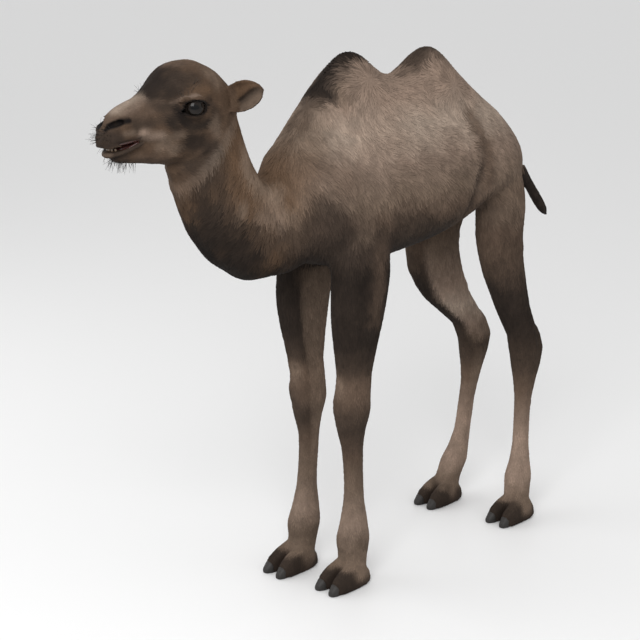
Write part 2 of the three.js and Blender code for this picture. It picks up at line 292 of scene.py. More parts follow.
def in_feet(p_z):
    """1 in the feet, 0 above them."""
    return 1 - smoothstep(p_z, 75, 110)


# ------------------------------------------------------------------ forms carved and raised on the skin
def ridge(line, radius, height):
    """Raises the skin by height along a line on both sides; a negative height is a groove."""
    def change(p, d):
        near, _ = line_distance(p, line)
        return d - height * np.exp(-((near / radius) ** 2))
    return line, 2.6 * radius, change


def swell(middle, radii, height):
    """Raises the skin by height round a point; a negative height is a hollow."""
    middle, radii = np.asarray(middle, float), np.asarray(radii, float)
    def change(p, d):
        return d - height * np.exp(-(((p - middle) / radii) ** 2).sum(-1))
    return [middle - radii, middle + radii], 1.6 * radii.max(), change


def cut(line, radii, blend=2.0):
    """A slit or hollow along a line, as wide as radii at its points."""
    def change(p, d):
        near, place = line_distance(p, line)
        hollow = near - np.interp(place, np.linspace(0, 1, len(radii)), radii)
        return -smooth_min(-d, hollow, blend)
    return line, max(radii) + 8, change


def fill(line, radii, blend=4.0):
    """A roll along a line, as thick as radii at its points."""
    def change(p, d):
        near, place = line_distance(p, line)
        form = near - np.interp(place, np.linspace(0, 1, len(radii)), radii)
        return smooth_min(d, form, blend)
    return line, max(radii) + 12, change


EYE_AXIS = unit(np.array([0.86, -0.5, 0.08]))
EYE_BACK = unit(np.cross(np.array([0, 0, 1.0]), EYE_AXIS))
EYE_UP = np.cross(EYE_AXIS, EYE_BACK)
LID_MIDDLE, LID_HALF, LID_POWER = (2.0, -1.2), (25.5, 15.0), 2.3


def eye_opening(p):
    """Distance outside the opening between the lids, seen along the eye's own axis."""
    arm = p - EYE
    u, v = arm @ EYE_BACK, arm @ EYE_UP
    reach = np.abs(u - LID_MIDDLE[0]) / LID_HALF[0], np.abs(v - LID_MIDDLE[1]) / LID_HALF[1]
    oval = ((reach[0] ** LID_POWER + reach[1] ** LID_POWER) ** (1 / LID_POWER) - 1) * LID_HALF[1]
    along = np.clip((-14 - u) / 18, 0, 1)
    corner = np.hypot(u + 14 + 18 * along, v + 3 + 8 * along) - (5.5 - 4.3 * along)
    return smooth_min(oval, corner, 4), arm @ EYE_AXIS


def lids(p, d):
    """Lids round the eyeball, and the hollow that the eyeball fills."""
    from_eye = np.linalg.norm(p - EYE, axis=-1)
    d = smooth_min(d, from_eye - (EYE_RADIUS + 2.6), 8)
    opening, out = eye_opening(p)
    d = -smooth_min(-d, np.maximum(opening, 2.0 - out), 1.5)
    return np.maximum(d, EYE_RADIUS + 0.1 - from_eye)


EAR_BASE, EAR_TIP = np.array([54.0, -464.0, 1292.0]), np.array([141.0, -443.0, 1322.0])
EAR_AXIS = (EAR_TIP - EAR_BASE) / np.linalg.norm(EAR_TIP - EAR_BASE)
EAR_FRONT = np.array([0.3, -1.0, 0.1])
EAR_FRONT = unit(EAR_FRONT - (EAR_FRONT @ EAR_AXIS) * EAR_AXIS)
EAR_RISE = np.cross(EAR_FRONT, EAR_AXIS)
EAR_LENGTH = np.linalg.norm(EAR_TIP - EAR_BASE)


def ear_frame(p):
    """Share of the ear's length, and distances across it, out of its front and past its fold."""
    arm = p - EAR_BASE
    s = arm @ EAR_AXIS / EAR_LENGTH
    half = np.interp(s, [-0.2, 0, 0.15, 0.4, 0.65, 0.82, 0.93, 1.0], [18, 25, 31, 34.5, 32.5, 24.5, 14.5, 2])
    across = arm @ EAR_RISE
    fold = across - half * (-0.42 + 0.92 * s)
    return s, half, across, arm @ EAR_FRONT, fold


def ear(p, d):
    """A cupped leaf with a rolled rim, its upper half folded forward over the lower."""
    s, half, across, out, fold = ear_frame(p)
    ratio = np.clip(np.abs(across) / half, 0, 1.3)
    middle = 15 * ratio**2 * np.clip(2.2 * (1 - s), 0.15, 1) - 6
    over = smoothstep(fold, -4, 4) * smoothstep(s, 0.02, 0.2) * (1 - smoothstep(s, 0.72, 0.98))
    middle = middle + 6.5 * over * np.exp(-np.maximum(fold, 0) / 22)
    thick = 2.7 + 2.1 * np.exp(-((fold / 7) ** 2)) + 3.5 * smoothstep(-s, -0.35, 0.05)
    thick = thick + 1.6 * np.exp(-(((ratio - 0.93) / 0.16) ** 2))
    side = np.maximum(np.abs(across) - half + thick, 0)
    end = np.maximum((s - 1) * EAR_LENGTH + thick, 0)
    leaf = np.sqrt(side**2 + ((out - middle) * 0.85) ** 2 + end**2) - thick
    rib = np.exp(-(((across / half + 0.5 - 0.5 * s) / 0.13) ** 2)) * smoothstep(s, 0.1, 0.3)
    leaf = leaf + 1.3 * rib * (1 - smoothstep(s, 0.7, 0.95)) * (out > middle)
    leaf = np.where(s < -0.25, 50.0, leaf)
    return smooth_min(d, leaf, 7)


def mouth_hollow(p, d):
    """Room inside the lips."""
    q = (p - np.array([0.0, -735.0, 1219.0])) / np.array([25.0, 42.0, 11.0])
    q[..., 0] /= np.interp(p[..., 1], [-775, -745, -700], [0.72, 1.0, 1.15])
    inside = (np.linalg.norm(q, axis=-1) - 1) * 11
    return -smooth_min(-d, inside, 2.0)


def philtrum(p, d):
    """The groove that splits the upper lip."""
    across = np.abs(p[..., 0])
    where = smoothstep(-p[..., 1], 735, 765) * smoothstep(p[..., 2], 1212, 1222)
    return d + 3.4 * np.exp(-((across / 2.6) ** 2)) * where


HEAD_BOX = [(0, -800, 1130), (150, -390, 1400)]
NOSTRIL = [(13, -776, 1258), (20.5, -770, 1263), (27, -763, 1267), (32, -754, 1269.5), (36, -745, 1272),
           (38.5, -737, 1273), (39, -730, 1274)]
NOSTRIL_HOLLOW = [(13, -766, 1261), (21, -757, 1266), (28, -745, 1270)]
MOUTH_LINE = [(47, -696, 1229), (46, -708, 1227), (44, -722, 1223), (41, -738, 1219), (36, -752, 1215.5),
              (30, -764, 1213)]
HEAD_FORMS = [
    swell((0, -764, 1286), (26, 16, 14), -5.0),  # the nose falls away in front
    ridge([(0, -655, 1336), (0, -690, 1318), (0, -735, 1301)], 20, 3.0),
    ridge([(22, -763, 1273), (30, -754, 1277), (36, -744, 1279), (38, -732, 1280)], 5.5, 3.4),  # its wing
    ridge([(24, -772, 1254), (33, -762, 1258), (39, -750, 1261), (41, -736, 1265)], 6, 3.0),
    cut(NOSTRIL_HOLLOW, [5, 7.5, 6], 2.0),
    cut(NOSTRIL, [1.2, 3.4, 4.4, 4.8, 4.4, 3.4, 1.4], 1.5),
    ridge([(43, -714, 1264), (40, -702, 1268), (34, -690, 1278)], 6, -1.8),
    ridge([(6, -783, 1222), (24, -773, 1219), (38, -752, 1220), (43, -728, 1225), (44, -706, 1232)],
          5.5, 2.4),  # the upper lip
    fill([(0, -780, 1220), (14, -777, 1219), (26, -768, 1219), (35, -752, 1221)], [4.5, 4.5, 4.2, 3.0], 6),
    fill([(0, -766, 1198), (11, -764, 1199), (20, -756, 1202), (27, -745, 1205), (32, -731, 1209),
          (38, -713, 1216), (42, -700, 1223)], [5.5, 5.5, 5.5, 5.2, 5.0, 4.6, 4.0], 4),  # the lower lip
    ridge([(4, -757, 1192), (18, -750, 1193), (29, -733, 1198), (36, -712, 1210)], 5, -2.6),
    swell((8, -742, 1182), (18, 20, 9), 2.4),
    cut(MOUTH_LINE, [0.8, 2.2, 3.2, 3.8, 4.4, 5.0], 1.6),
    ridge([(47, -695, 1231), (50, -686, 1226), (48, -676, 1216)], 3.6, -2.2),
    ridge([(47, -693, 1239), (51, -680, 1230), (49, -668, 1214)], 6.5, 1.8),
    ridge([(46, -720, 1239), (46, -703, 1247), (45, -680, 1252)], 7, -1.4),
    swell((77, -620, 1315), (14, 20, 14), 9.0),  # the brow
    ridge([(62, -640, 1300), (76, -618, 1310), (84, -592, 1320), (82, -560, 1319), (74, -536, 1306)], 8, 5),
    ridge([(66, -628, 1290), (76, -612, 1300), (80, -606, 1306)], 5, -4.0),  # the hollow in front of the lid
    ridge([(72, -610, 1268), (82, -590, 1260), (86, -570, 1260), (82, -548, 1270)], 3.4, -2.2),
    ridge([(68, -618, 1258), (78, -596, 1250), (80, -570, 1250), (77, -544, 1262)], 8, 3.0),
    ridge([(68, -622, 1274), (62, -636, 1264), (55, -650, 1254)], 5, -2.4),
    ridge([(66, -640, 1300), (52, -668, 1298), (38, -700, 1294)], 11, -2.6),
    ridge([(70, -612, 1246), (58, -650, 1244), (50, -690, 1246)], 10, 2.6),
    swell((76, -520, 1318), (14, 26, 20), -4.0),
    swell((70, -552, 1222), (22, 40, 34), 4.0),
    ridge([(62, -610, 1196), (69, -580, 1205), (72, -548, 1222)], 9, -1.6),
    ridge([(30, -660, 1170), (48, -610, 1168), (60, -575, 1174), (66, -545, 1192)], 9, 3.0),
    ridge([(20, -596, 1158), (42, -580, 1160), (60, -558, 1168), (68, -530, 1190)], 7, -3.0),
    swell((0, -600, 1142), (34, 18, 24), 7.0),
    ridge([(66, -500, 1240), (64, -490, 1210), (56, -500, 1180)], 14, -2.5),
    swell((0, -600, 1386), (34, 46, 16), 2.0),
]
BODY_FORMS = [
    ridge([(60, -275, 1150), (100, -215, 1085), (128, -195, 1000), (132, -190, 900)], 26, 5),  # shoulder
    ridge([(148, -120, 1130), (150, -95, 1030), (150, -60, 920)], 26, -5),
    ridge([(128, -70, 1180), (150, -120, 1080)], 30, 3),
    ridge([(158, 330, 1120), (166, 300, 1050), (160, 262, 985), (140, 262, 940)], 17, -8),  # flank fold
    ridge([(150, 360, 1160), (130, 400, 1180), (96, 430, 1185)], 26, 4),  # hip bone
    swell((150, 440, 1010), (40, 90, 110), 7),
    ridge([(126, 395, 900), (132, 385, 820), (120, 400, 740)], 28, 4),
    ridge([(120, 560, 980), (116, 540, 860), (112, 556, 760)], 20, -4),
    swell((150, 120, 960), (50, 150, 70), 4),
    ridge([(86, -300, 1060), (74, -270, 980), (60, -262, 905)], 16, -4),  # where the neck meets the chest
    ridge([(10, -330, 1094), (40, -320, 1086), (64, -300, 1074)], 9, -5),  # the fold at the dip
    ridge([(30, -352, 1112), (54, -334, 1096), (70, -305, 1090)], 9, 4),
    ridge([(75, -440, 1170), (82, -400, 1080), (70, -330, 990), (40, -300, 930)], 22, -3),  # windpipe groove
]
LEG_FORMS = [
    swell((85, -160, 84), (34, 22, 16), -4),
    swell((85, -100, 110), (40, 44, 26), 2.2),
    ridge([(124, -150, 760), (118, -150, 650), (106, -140, 560)], 20, 3),
    ridge([(130, -70, 790), (122, -75, 700), (110, -78, 600)], 14, -4),
    swell((86, -22, 838), (34, 26, 40), 5),  # elbow
    ridge([(60, -146, 505), (84, -154, 500), (108, -140, 500)], 14, 4),  # knee
    ridge([(60, -140, 462), (84, -146, 460), (106, -132, 462)], 9, -2.5),
    ridge([(60, -146, 548), (84, -148, 550), (106, -132, 548)], 9, -2),
    ridge([(84, -46, 500), (84, -44, 470)], 12, 4),
    ridge([(104, -78, 430), (101, -80, 300), (103, -76, 180)], 8, -3.6),  # between bone and tendon
    ridge([(63, -78, 430), (62, -80, 300), (63, -76, 180)], 8, -3.6),
    swell((84, -100, 128), (34, 38, 22), 2),
    ridge([(84, -135, 150), (84, -140, 110)], 7, -2.5),
    ridge([(112, -110, 94), (84, -136, 88), (56, -110, 94)], 7, -2.4),
]
HIND_FORMS = [
    swell((115, 490, 84), (34, 22, 16), -3),
    ridge([(92, 530, 510), (94, 520, 480), (96, 532, 450)], 16, 4),  # hock
    ridge([(96, 646, 520), (96, 648, 480)], 12, 6),  # its point
    ridge([(126, 590, 560), (122, 600, 510), (114, 604, 450)], 11, -4),
    ridge([(70, 590, 560), (70, 600, 510), (76, 604, 450)], 11, -4),
    ridge([(98, 612, 640), (97, 628, 580), (97, 642, 530)], 9, 4),  # the tendon to the hock
    ridge([(118, 566, 640), (116, 590, 580)], 11, -5),
    ridge([(84, 560, 640), (84, 588, 580)], 11, -5),
    ridge([(116, 588, 430), (112, 586, 320), (114, 580, 200)], 8, -3.6),
    ridge([(78, 588, 430), (80, 586, 320), (84, 580, 200)], 8, -3.6),
    ridge([(128, 410, 735), (132, 400, 700), (124, 424, 650)], 20, 4),  # stifle
    swell((106, 556, 124), (34, 42, 20), 2),
    ridge([(134, 540, 92), (110, 514, 86), (84, 540, 92)], 7, -2.4),
]


def straightened(p):
    """The same points with x made positive and the right legs drawn back under the left ones."""
    q = on_left(p)
    right = p[..., 0] < 0
    fore = FORE_STRIDE * np.maximum(0, 1 - p[..., 2] / 350)
    below = np.maximum(0, 1 - p[..., 2] / (HOCK_Z + 30)) ** 1.3
    above = smoothstep(p[..., 2], HOCK_Z - 20, 640) * (1 - smoothstep(p[..., 2], 800, 930))
    front = np.clip((560 - p[..., 1]) / 120, 0, 1)
    hind = HIND_STRIDE * (below + above * (0.1 + 1.3 * front))
    q[..., 1] += np.where(right, np.where(p[..., 1] < MIDWAY_Y, fore, hind), 0)
    return q


def toes(p, d):
    """The cleft between two toes and the pads of a foot, on straightened points."""
    for foot in (FORE_FOOT, HIND_FOOT):
        u, v, w = p[..., 0] - foot[0], p[..., 1] - foot[1], p[..., 2]
        reach = smoothstep(-v, 28, 52) * (1 - smoothstep(w, 52, 74)) * (np.abs(u) < 60) * (np.abs(v) < 130)
        d = d + 9 * np.exp(-((u / (3.2 + 0.05 * np.maximum(-v - 50, 0))) ** 2)) * reach
        knuckle = np.exp(-(((np.abs(u) - 22) / 13) ** 2 + ((v + 46) / 15) ** 2 + ((w - 52) / 11) ** 2))
        d = d - 2.6 * knuckle
        wrinkle = np.exp(-(((v + 62 - 0.3 * (w - 30)) / 3.5) ** 2)) * (np.abs(u) < 50) * (w < 60)
        d = d + 1.4 * wrinkle
    return d


FORMS = (
    [(box, reach, change, False) for box, reach, change in HEAD_FORMS + BODY_FORMS]
    + [(box, reach, change, True) for box, reach, change in LEG_FORMS + HIND_FORMS]
    + [
        (HEAD_BOX, 0, philtrum, False),
        (HEAD_BOX, 0, mouth_hollow, False),
        ([EYE, EYE], 60, lids, False),
        ([EAR_BASE, EAR_TIP], 60, ear, False),
        ([(30, -240, 0), (180, 640, 90)], 0, toes, True),
    ]
)


def base_field(p):
    """Signed distance to the smoothed solids, finer in the head and the feet."""
    d = body_grid.at(BODY, p)
    d = mix(d, head_grid.at(HEAD, p), in_head(p[:, 1], p[:, 2]))
    for (grid, values), here in zip(FEET, (p[:, 1] < MIDWAY_Y, p[:, 1] >= MIDWAY_Y)):
        d = mix(d, grid.at(values, p), in_feet(p[:, 2]) * here)
    return d


def skin_field(p):
    """Signed distance to the skin at points, in millimetres."""
    flat = np.ascontiguousarray(p.reshape(-1, 3), float)
    return finish_field(flat, base_field(flat)).reshape(p.shape[:-1])


def finish_field(flat, d):
    """The smoothed solids' distances drawn in by the coat's depth, with every form on them."""
    plain = on_left(flat)
    straight = straightened(flat)
    depth = np.interp(flat[:, 2], *zip(*DEPTH_ROWS))
    depth += (HEAD_DEPTH - depth) * in_head(flat[:, 1], flat[:, 2])
    on_tail = (tail_place(flat[:, 1], flat[:, 2]) > TAIL_START + 15) & (flat[:, 2] > 800)
    depth += (TAIL_DEPTH - depth) * on_tail
    d = d + depth
    for box, reach, change, on_leg in FORMS:
        q = straight if on_leg else plain
        low, high = np.min(box, 0) - reach, np.max(box, 0) + reach
        near = ((q > low) & (q < high)).all(-1)
        if near.any():
            d[near] = change(q[near], d[near])
    return np.maximum(d, 0.2 - flat[:, 2])


# ------------------------------------------------------------------ the skin's mesh
def spaced(*parts):
    """Coordinates from (end, step) pairs, the first pair giving the start."""
    places = [parts[0][0]]
    for end, step in parts[1:]:
        n = max(1, round((end - places[-1]) / step))
        places.extend(np.linspace(places[-1], end, n + 1)[1:])
    return np.array(places)


def mirrored(half):
    """Coordinates on both sides of 0, from those on one side."""
    return np.concatenate([-half[:0:-1], half])


def extract(axes, values):
    """The zero surface of values over three lists of coordinates: points and quads."""
    grid = openvdb.FloatGrid()
    grid.copyFromArray(np.ascontiguousarray(values, np.float32))
    points, quads = grid.convertToQuads(isovalue=0.0)
    points = np.stack(
        [np.interp(points[:, i], np.arange(len(axes[i])), axes[i]) for i in range(3)], axis=1
    )
    return points, quads


def field_over(axes):
    """skin_field on a grid of coordinates, worked out only near the surface."""
    values = body_grid.along_axes(BODY, axes)
    head = in_head(axes[1][None, :, None], axes[2][None, None, :]).astype(np.float32)
    values = mix(values, head_grid.along_axes(HEAD, axes), head)
    feet = in_feet(axes[2])[None, None, :].astype(np.float32)
    for (grid, part), here in zip(FEET, (axes[1] < MIDWAY_Y, axes[1] >= MIDWAY_Y)):
        share = feet * here[None, :, None]
        values = mix(values, grid.along_axes(part, axes), share)
    near = np.abs(values) < 30
    by_ear = [np.abs(axes[0]) > 35, np.abs(axes[1] + 455) < 40, np.abs(axes[2] - 1305) < 60]
    near |= by_ear[0][:, None, None] & by_ear[1][None, :, None] & by_ear[2][None, None, :]
    where = np.argwhere(near)
    p = np.stack([axes[i][where[:, i]] for i in range(3)], axis=1)
    values[near] = finish_field(p, values[near].astype(float))
    return values


SKIN_AXES = (
    mirrored(spaced((0, 0), (93, 3.4), (148, 4.0), (180, 9))),
    spaced((-800, 0), (-410, 3.3), (-240, 9.5), (-40, 8), (400, 12), (600, 8.5), (800, 7.5)),
    spaced((-6, 0), (78, 5.2), (1140, 11.5), (1400, 3.5)),
)


def make_object(name, *lists, material):
    """A smooth mesh from lists of points, of triangles or quads, and of a colour for each point."""
    points, faces, colours = (np.concatenate(rows) for rows in lists)
    mesh = bpy.data.meshes.new(name)
    mesh.vertices.add(len(points))
    mesh.vertices.foreach_set("co", (points * MM).astype(np.float32).ravel())
    mesh.loops.add(faces.size)
    mesh.loops.foreach_set("vertex_index", faces.astype(np.int32).ravel())
    mesh.polygons.add(len(faces))
    mesh.polygons.foreach_set("loop_start", np.arange(len(faces), dtype=np.int32) * faces.shape[1])
    mesh.polygons.foreach_set("use_smooth", np.full(len(faces), True))
    mesh.update(calc_edges=True)
    mesh.validate()
    layer = mesh.color_attributes.new("shade", "FLOAT_COLOR", "POINT")
    layer.data.foreach_set("color", np.c_[colours, np.ones(len(colours))].astype(np.float32).ravel())
    mesh.materials.append(material)
    obj = bpy.data.objects.new(name, mesh)
    bpy.context.scene.collection.objects.link(obj)
    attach(obj, "root")
    return obj


# ------------------------------------------------------------------ the lie of the coat
WHORLS = [(np.array([59.0, -16.0, 1299.0]), 118), (np.array([80.0, 271.0, 1263.0]), 105)]  # middle, reach
NECK_LINE = np.array([[-510.0, 1240.0], [-474, 1106], [-420, 1020], [-330, 970], [-230, 985]])


def near_neck(q):
    """How far along the neck a point lies, 0 at the nape to 1 at the chest, and how far off its line."""
    line = [(0.0, y, z) for y, z in NECK_LINE]
    off, place = line_distance(q * [0, 1, 1], line)
    return place, off


def parts_of(q):
    """How much each point belongs to the head, neck, humps, legs, feet, ear and tail, 0 to 1."""
    head = smoothstep(-(q[:, 1] + 500) + 0.9 * (q[:, 2] - 1195), -25, 25)
    body = smoothstep(q[:, 1] - 0.3 * (q[:, 2] - 1000), -330, -240)
    neck = (1 - head) * (1 - body)
    ear_s = (q - EAR_BASE) @ EAR_AXIS
    ear_out = (q - EAR_BASE) @ EAR_FRONT
    ear_part = smoothstep(ear_s, 20, 32) * (np.abs(ear_out) < 34) * smoothstep(q[:, 0], 68, 78) * head
    legs = 1 - smoothstep(q[:, 2], 800, 900)
    feet = 1 - smoothstep(q[:, 2], 70, 120)
    tail = smoothstep(tail_place(q[:, 1], q[:, 2]), TAIL_START, TAIL_START + 20)
    tail *= (q[:, 2] > 780) & (q[:, 0] < 40)
    return {"head": head, "neck": neck, "body": body * (1 - legs), "legs": legs * (q[:, 2] < 900),
            "feet": feet, "ear": ear_part, "tail": tail}


LIE_TURN, LIE_WAVE = Noise(46, 5), Noise(17, 6)


def lie(p, normal):
    """The direction in which the coat lies at points of the skin."""
    sign = side_signs(p)
    q, n = p * sign, normal * sign
    part = parts_of(q)
    low = 1 - smoothstep(q[:, 2], 940, 1120)
    rear = smoothstep(q[:, 1], 380, 560)
    d = np.stack([0 * low, 0.85 - 0.35 * low - 0.2 * rear, -0.45 - 0.55 * low - 0.3 * rear], axis=1)
    shoulder = np.exp(-(((q[:, 1] + 150) / 90) ** 2)) * (q[:, 2] < 1240)
    d += shoulder[:, None] * np.array([0, -0.35, -0.5])
    for whorl, reach in WHORLS:
        away = q - whorl
        far = np.linalg.norm(away, axis=1)
        pull = np.exp(-((far / reach) ** 2.4)) * (q[:, 2] > 1180)
        d = d * (1 - pull[:, None]) + unit(away) * pull[:, None] * 1.4
    place, _ = near_neck(q)
    over = smoothstep(place, 0.15, 0.75)
    on_neck = np.stack([0 * over, -0.15 - 0.55 * np.sin(np.pi * over), -1 + 0 * over], axis=1)
    on_neck[:, 1] += 0.35 * (1 - smoothstep(place, 0, 0.2))
    crown = smoothstep(q[:, 2], 1290, 1350)
    back_of_head = smoothstep(q[:, 1], -560, -440)
    on_head = np.stack([
        0.15 + 0 * crown,
        0.95 - 0.3 * back_of_head,
        -0.22 + 0.3 * crown * smoothstep(-q[:, 1], 560, 620) - 0.55 * back_of_head,
    ], axis=1)
    on_head[:, 2] -= 0.35 * smoothstep(-q[:, 1], 700, 770) * (q[:, 2] < 1245)
    for way, share in (
        (on_neck, part["neck"]),
        (on_head, part["head"]),
        (np.array([0, 0.1, -1.0]), part["legs"]),
        (np.array([0, -0.6, -0.7]), part["feet"] * (q[:, 2] < 70)),
        (EAR_AXIS, part["ear"]),
        (np.array([0, 0.65, -0.76]), part["tail"]),
    ):
        d = mix(d, way, share)
    d -= (d * n).sum(1, keepdims=True) * n
    d = unit(d)
    side = np.cross(n, d)
    turn = (0.42 * LIE_TURN(p) + 0.25 * LIE_WAVE(p)) * (1 - 0.6 * part["legs"] - 0.3 * part["ear"])
    turn *= 1 - 0.55 * part["head"]
    d = unit(d * np.cos(turn)[:, None] + side * np.sin(turn)[:, None])
    return d * sign


# ------------------------------------------------------------------ markings
def linear(*srgb):
    """A colour in linear light, from its three values on a screen."""
    c = np.array(srgb) / 255
    return np.where(c < 0.04045, c / 12.92, ((c + 0.055) / 1.055) ** 2.4)


PALE, TAN, FAWN = linear(152, 136, 122), linear(128, 110, 97), linear(108, 92, 79)
BROWN, RUST, UMBER = linear(84, 69, 58), linear(100, 78, 60), linear(62, 51, 43)
DARK, BLACK = linear(50, 41, 35), linear(38, 31, 27)
ALBEDO_GAIN = 1.08

# height and colour, upwards
FLANK_ROWS = [
    (850, DARK * 0.8), (900, DARK), (935, UMBER * 0.9), (975, BROWN * 0.9), (1030, FAWN * 0.86),
    (1110, TAN * 0.86), (1190, PALE * 0.88), (1260, TAN), (1400, TAN * 0.88),
]
FORE_ROWS = [
    (0, DARK * 0.8), (20, UMBER), (44, FAWN * 0.9), (70, FAWN * 0.9), (110, FAWN * 0.7), (170, TAN * 0.9),
    (260, FAWN * 0.82), (360, BROWN * 0.85), (425, UMBER * 0.85), (470, UMBER * 1.1), (520, BROWN),
    (550, BROWN * 1.1), (600, UMBER * 0.9), (668, DARK * 0.6), (760, DARK * 0.65), (848, DARK * 0.4),
    (900, UMBER * 0.65), (960, UMBER),
]
HIND_ROWS = [
    (0, DARK * 0.8), (20, UMBER), (44, FAWN * 0.9), (70, FAWN), (130, TAN * 1.1), (240, TAN * 1.12),
    (380, BROWN * 1.15), (450, UMBER), (520, UMBER * 0.7), (600, DARK * 0.8), (690, DARK * 0.85),
    (800, BROWN * 0.8), (880, BROWN * 0.85), (960, FAWN * 0.9),
]
INNER_ROWS = [
    (150, TAN), (390, FAWN), (465, UMBER), (505, FAWN * 0.85), (545, TAN), (610, PALE), (680, TAN),
    (800, FAWN * 0.75), (900, BROWN * 0.9),
]
# colour, line of points on the left side, radius, softness, strength
MARKS = [
    (DARK, [(120, -215, 1000), (128, -160, 930), (120, -130, 870)], 56, 42, 0.85),
    (DARK * 0.8, [(0, -320, 930), (0, -240, 880)], 70, 40, 0.85),
    (BROWN, [(120, -175, 1090), (80, -240, 1120)], 40, 34, 0.5),
    (TAN * 1.1, [(110, -80, 1160), (120, -20, 1180)], 56, 42, 0.5),
    (FAWN * 0.8, [(20, -190, 1222), (50, -196, 1200), (70, -210, 1150)], 32, 28, 0.75),
    (FAWN * 0.8, [(50, -104, 1280)], 28, 22, 0.75),
    (BROWN, [(142, -60, 900), (142, -60, 870)], 26, 24, 0.6),
    (FAWN * 0.85, [(140, -110, 950)], 30, 26, 0.5),
    (BLACK * 0.35, [(0, -142, 1296), (0, -112, 1335), (0, -70, 1366), (0, -20, 1374)], 50, 26, 0.96),
    (DARK * 0.8, [(30, -112, 1302), (38, -92, 1316), (42, -70, 1334)], 14, 16, 0.45),
    (DARK * 0.7, [(0, -30, 1376), (0, 30, 1350)], 26, 26, 0.6),
    (BLACK * 0.6, [(0, 176, 1312), (0, 204, 1338), (0, 226, 1358), (0, 262, 1370)], 38, 26, 0.8),
    (UMBER, [(18, 130, 1290), (22, 240, 1344), (30, 290, 1325)], 26, 26, 0.6),
    (BROWN * 1.05, [(118, 280, 1190), (146, 306, 1118), (161, 312, 1035)], 27, 24, 0.85),
    (UMBER * 0.85, [(154, -5, 978), (154, 30, 968), (150, 90, 948)], 28, 26, 0.85),
    (UMBER * 0.95, [(94, -287, 975), (100, -250, 985)], 34, 30, 0.7),
    (UMBER * 0.9, [(0, -260, 1150), (0, -180, 1250)], 34, 28, 0.6),
    (DARK * 0.9, [(164, 295, 1075), (163, 262, 1010), (150, 250, 960)], 11, 12, 0.8),
    (UMBER, [(140, 330, 950), (120, 360, 900)], 26, 22, 0.5),
    (BROWN, [(0, 560, 1060), (0, 600, 980)], 40, 36, 0.5),
    (FAWN, [(148, 440, 1000), (140, 460, 900)], 56, 46, 0.6),
]
LEG_MARKS = [
    (BROWN, [(142, -58, 880), (146, -72, 790), (132, -78, 730)], 24, 24, 0.6),
    (FAWN, [(84, -150, 552)], 22, 18, 0.8),
    (DARK * 0.6, [(124, -160, 850), (128, -150, 800)], 18, 18, 0.5),
    (UMBER, [(56, -140, 812), (66, -130, 850)], 18, 18, 0.6),
    (FAWN * 0.9, [(84, 325, 800), (104, 330, 830)], 22, 20, 0.6),
]
NECK_MARKS = [
    (FAWN * 0.8, [(84, -356, 1025), (90, -305, 1010)], 40, 38, 0.7),
    (TAN * 0.72, [(84, -352, 1035)], 30, 30, 0.6),
    (BLACK * 0.4, [(0, -535, 950), (0, -470, 905), (0, -390, 885), (0, -320, 880)], 84, 46, 0.96),
    (DARK * 0.6, [(64, -528, 1050), (72, -490, 990), (78, -420, 935)], 34, 34, 0.75),
    (UMBER * 0.5, [(62, -546, 1180), (52, -552, 1112), (50, -537, 1065), (64, -500, 1030)], 32, 26, 0.88),
    (FAWN * 0.85, [(0, -592, 1150), (0, -585, 1105)], 18, 18, 0.75),
    (UMBER, [(94, -287, 975)], 34, 30, 0.7),
    (FAWN * 1.1, [(30, -424, 1185), (44, -412, 1140), (50, -385, 1104), (44, -324, 1072)], 24, 22, 0.85),
    (UMBER * 0.7, [(66, -520, 1180), (68, -500, 1120), (72, -475, 1055), (76, -425, 985), (86, -340, 965)],
     30, 30, 0.75),
    (DARK * 0.5, [(28, -525, 1005), (56, -495, 1000), (64, -450, 965), (40, -400, 905)], 44, 34, 0.88),
    (FAWN, [(76, -438, 1058)], 20, 18, 0.6),
]
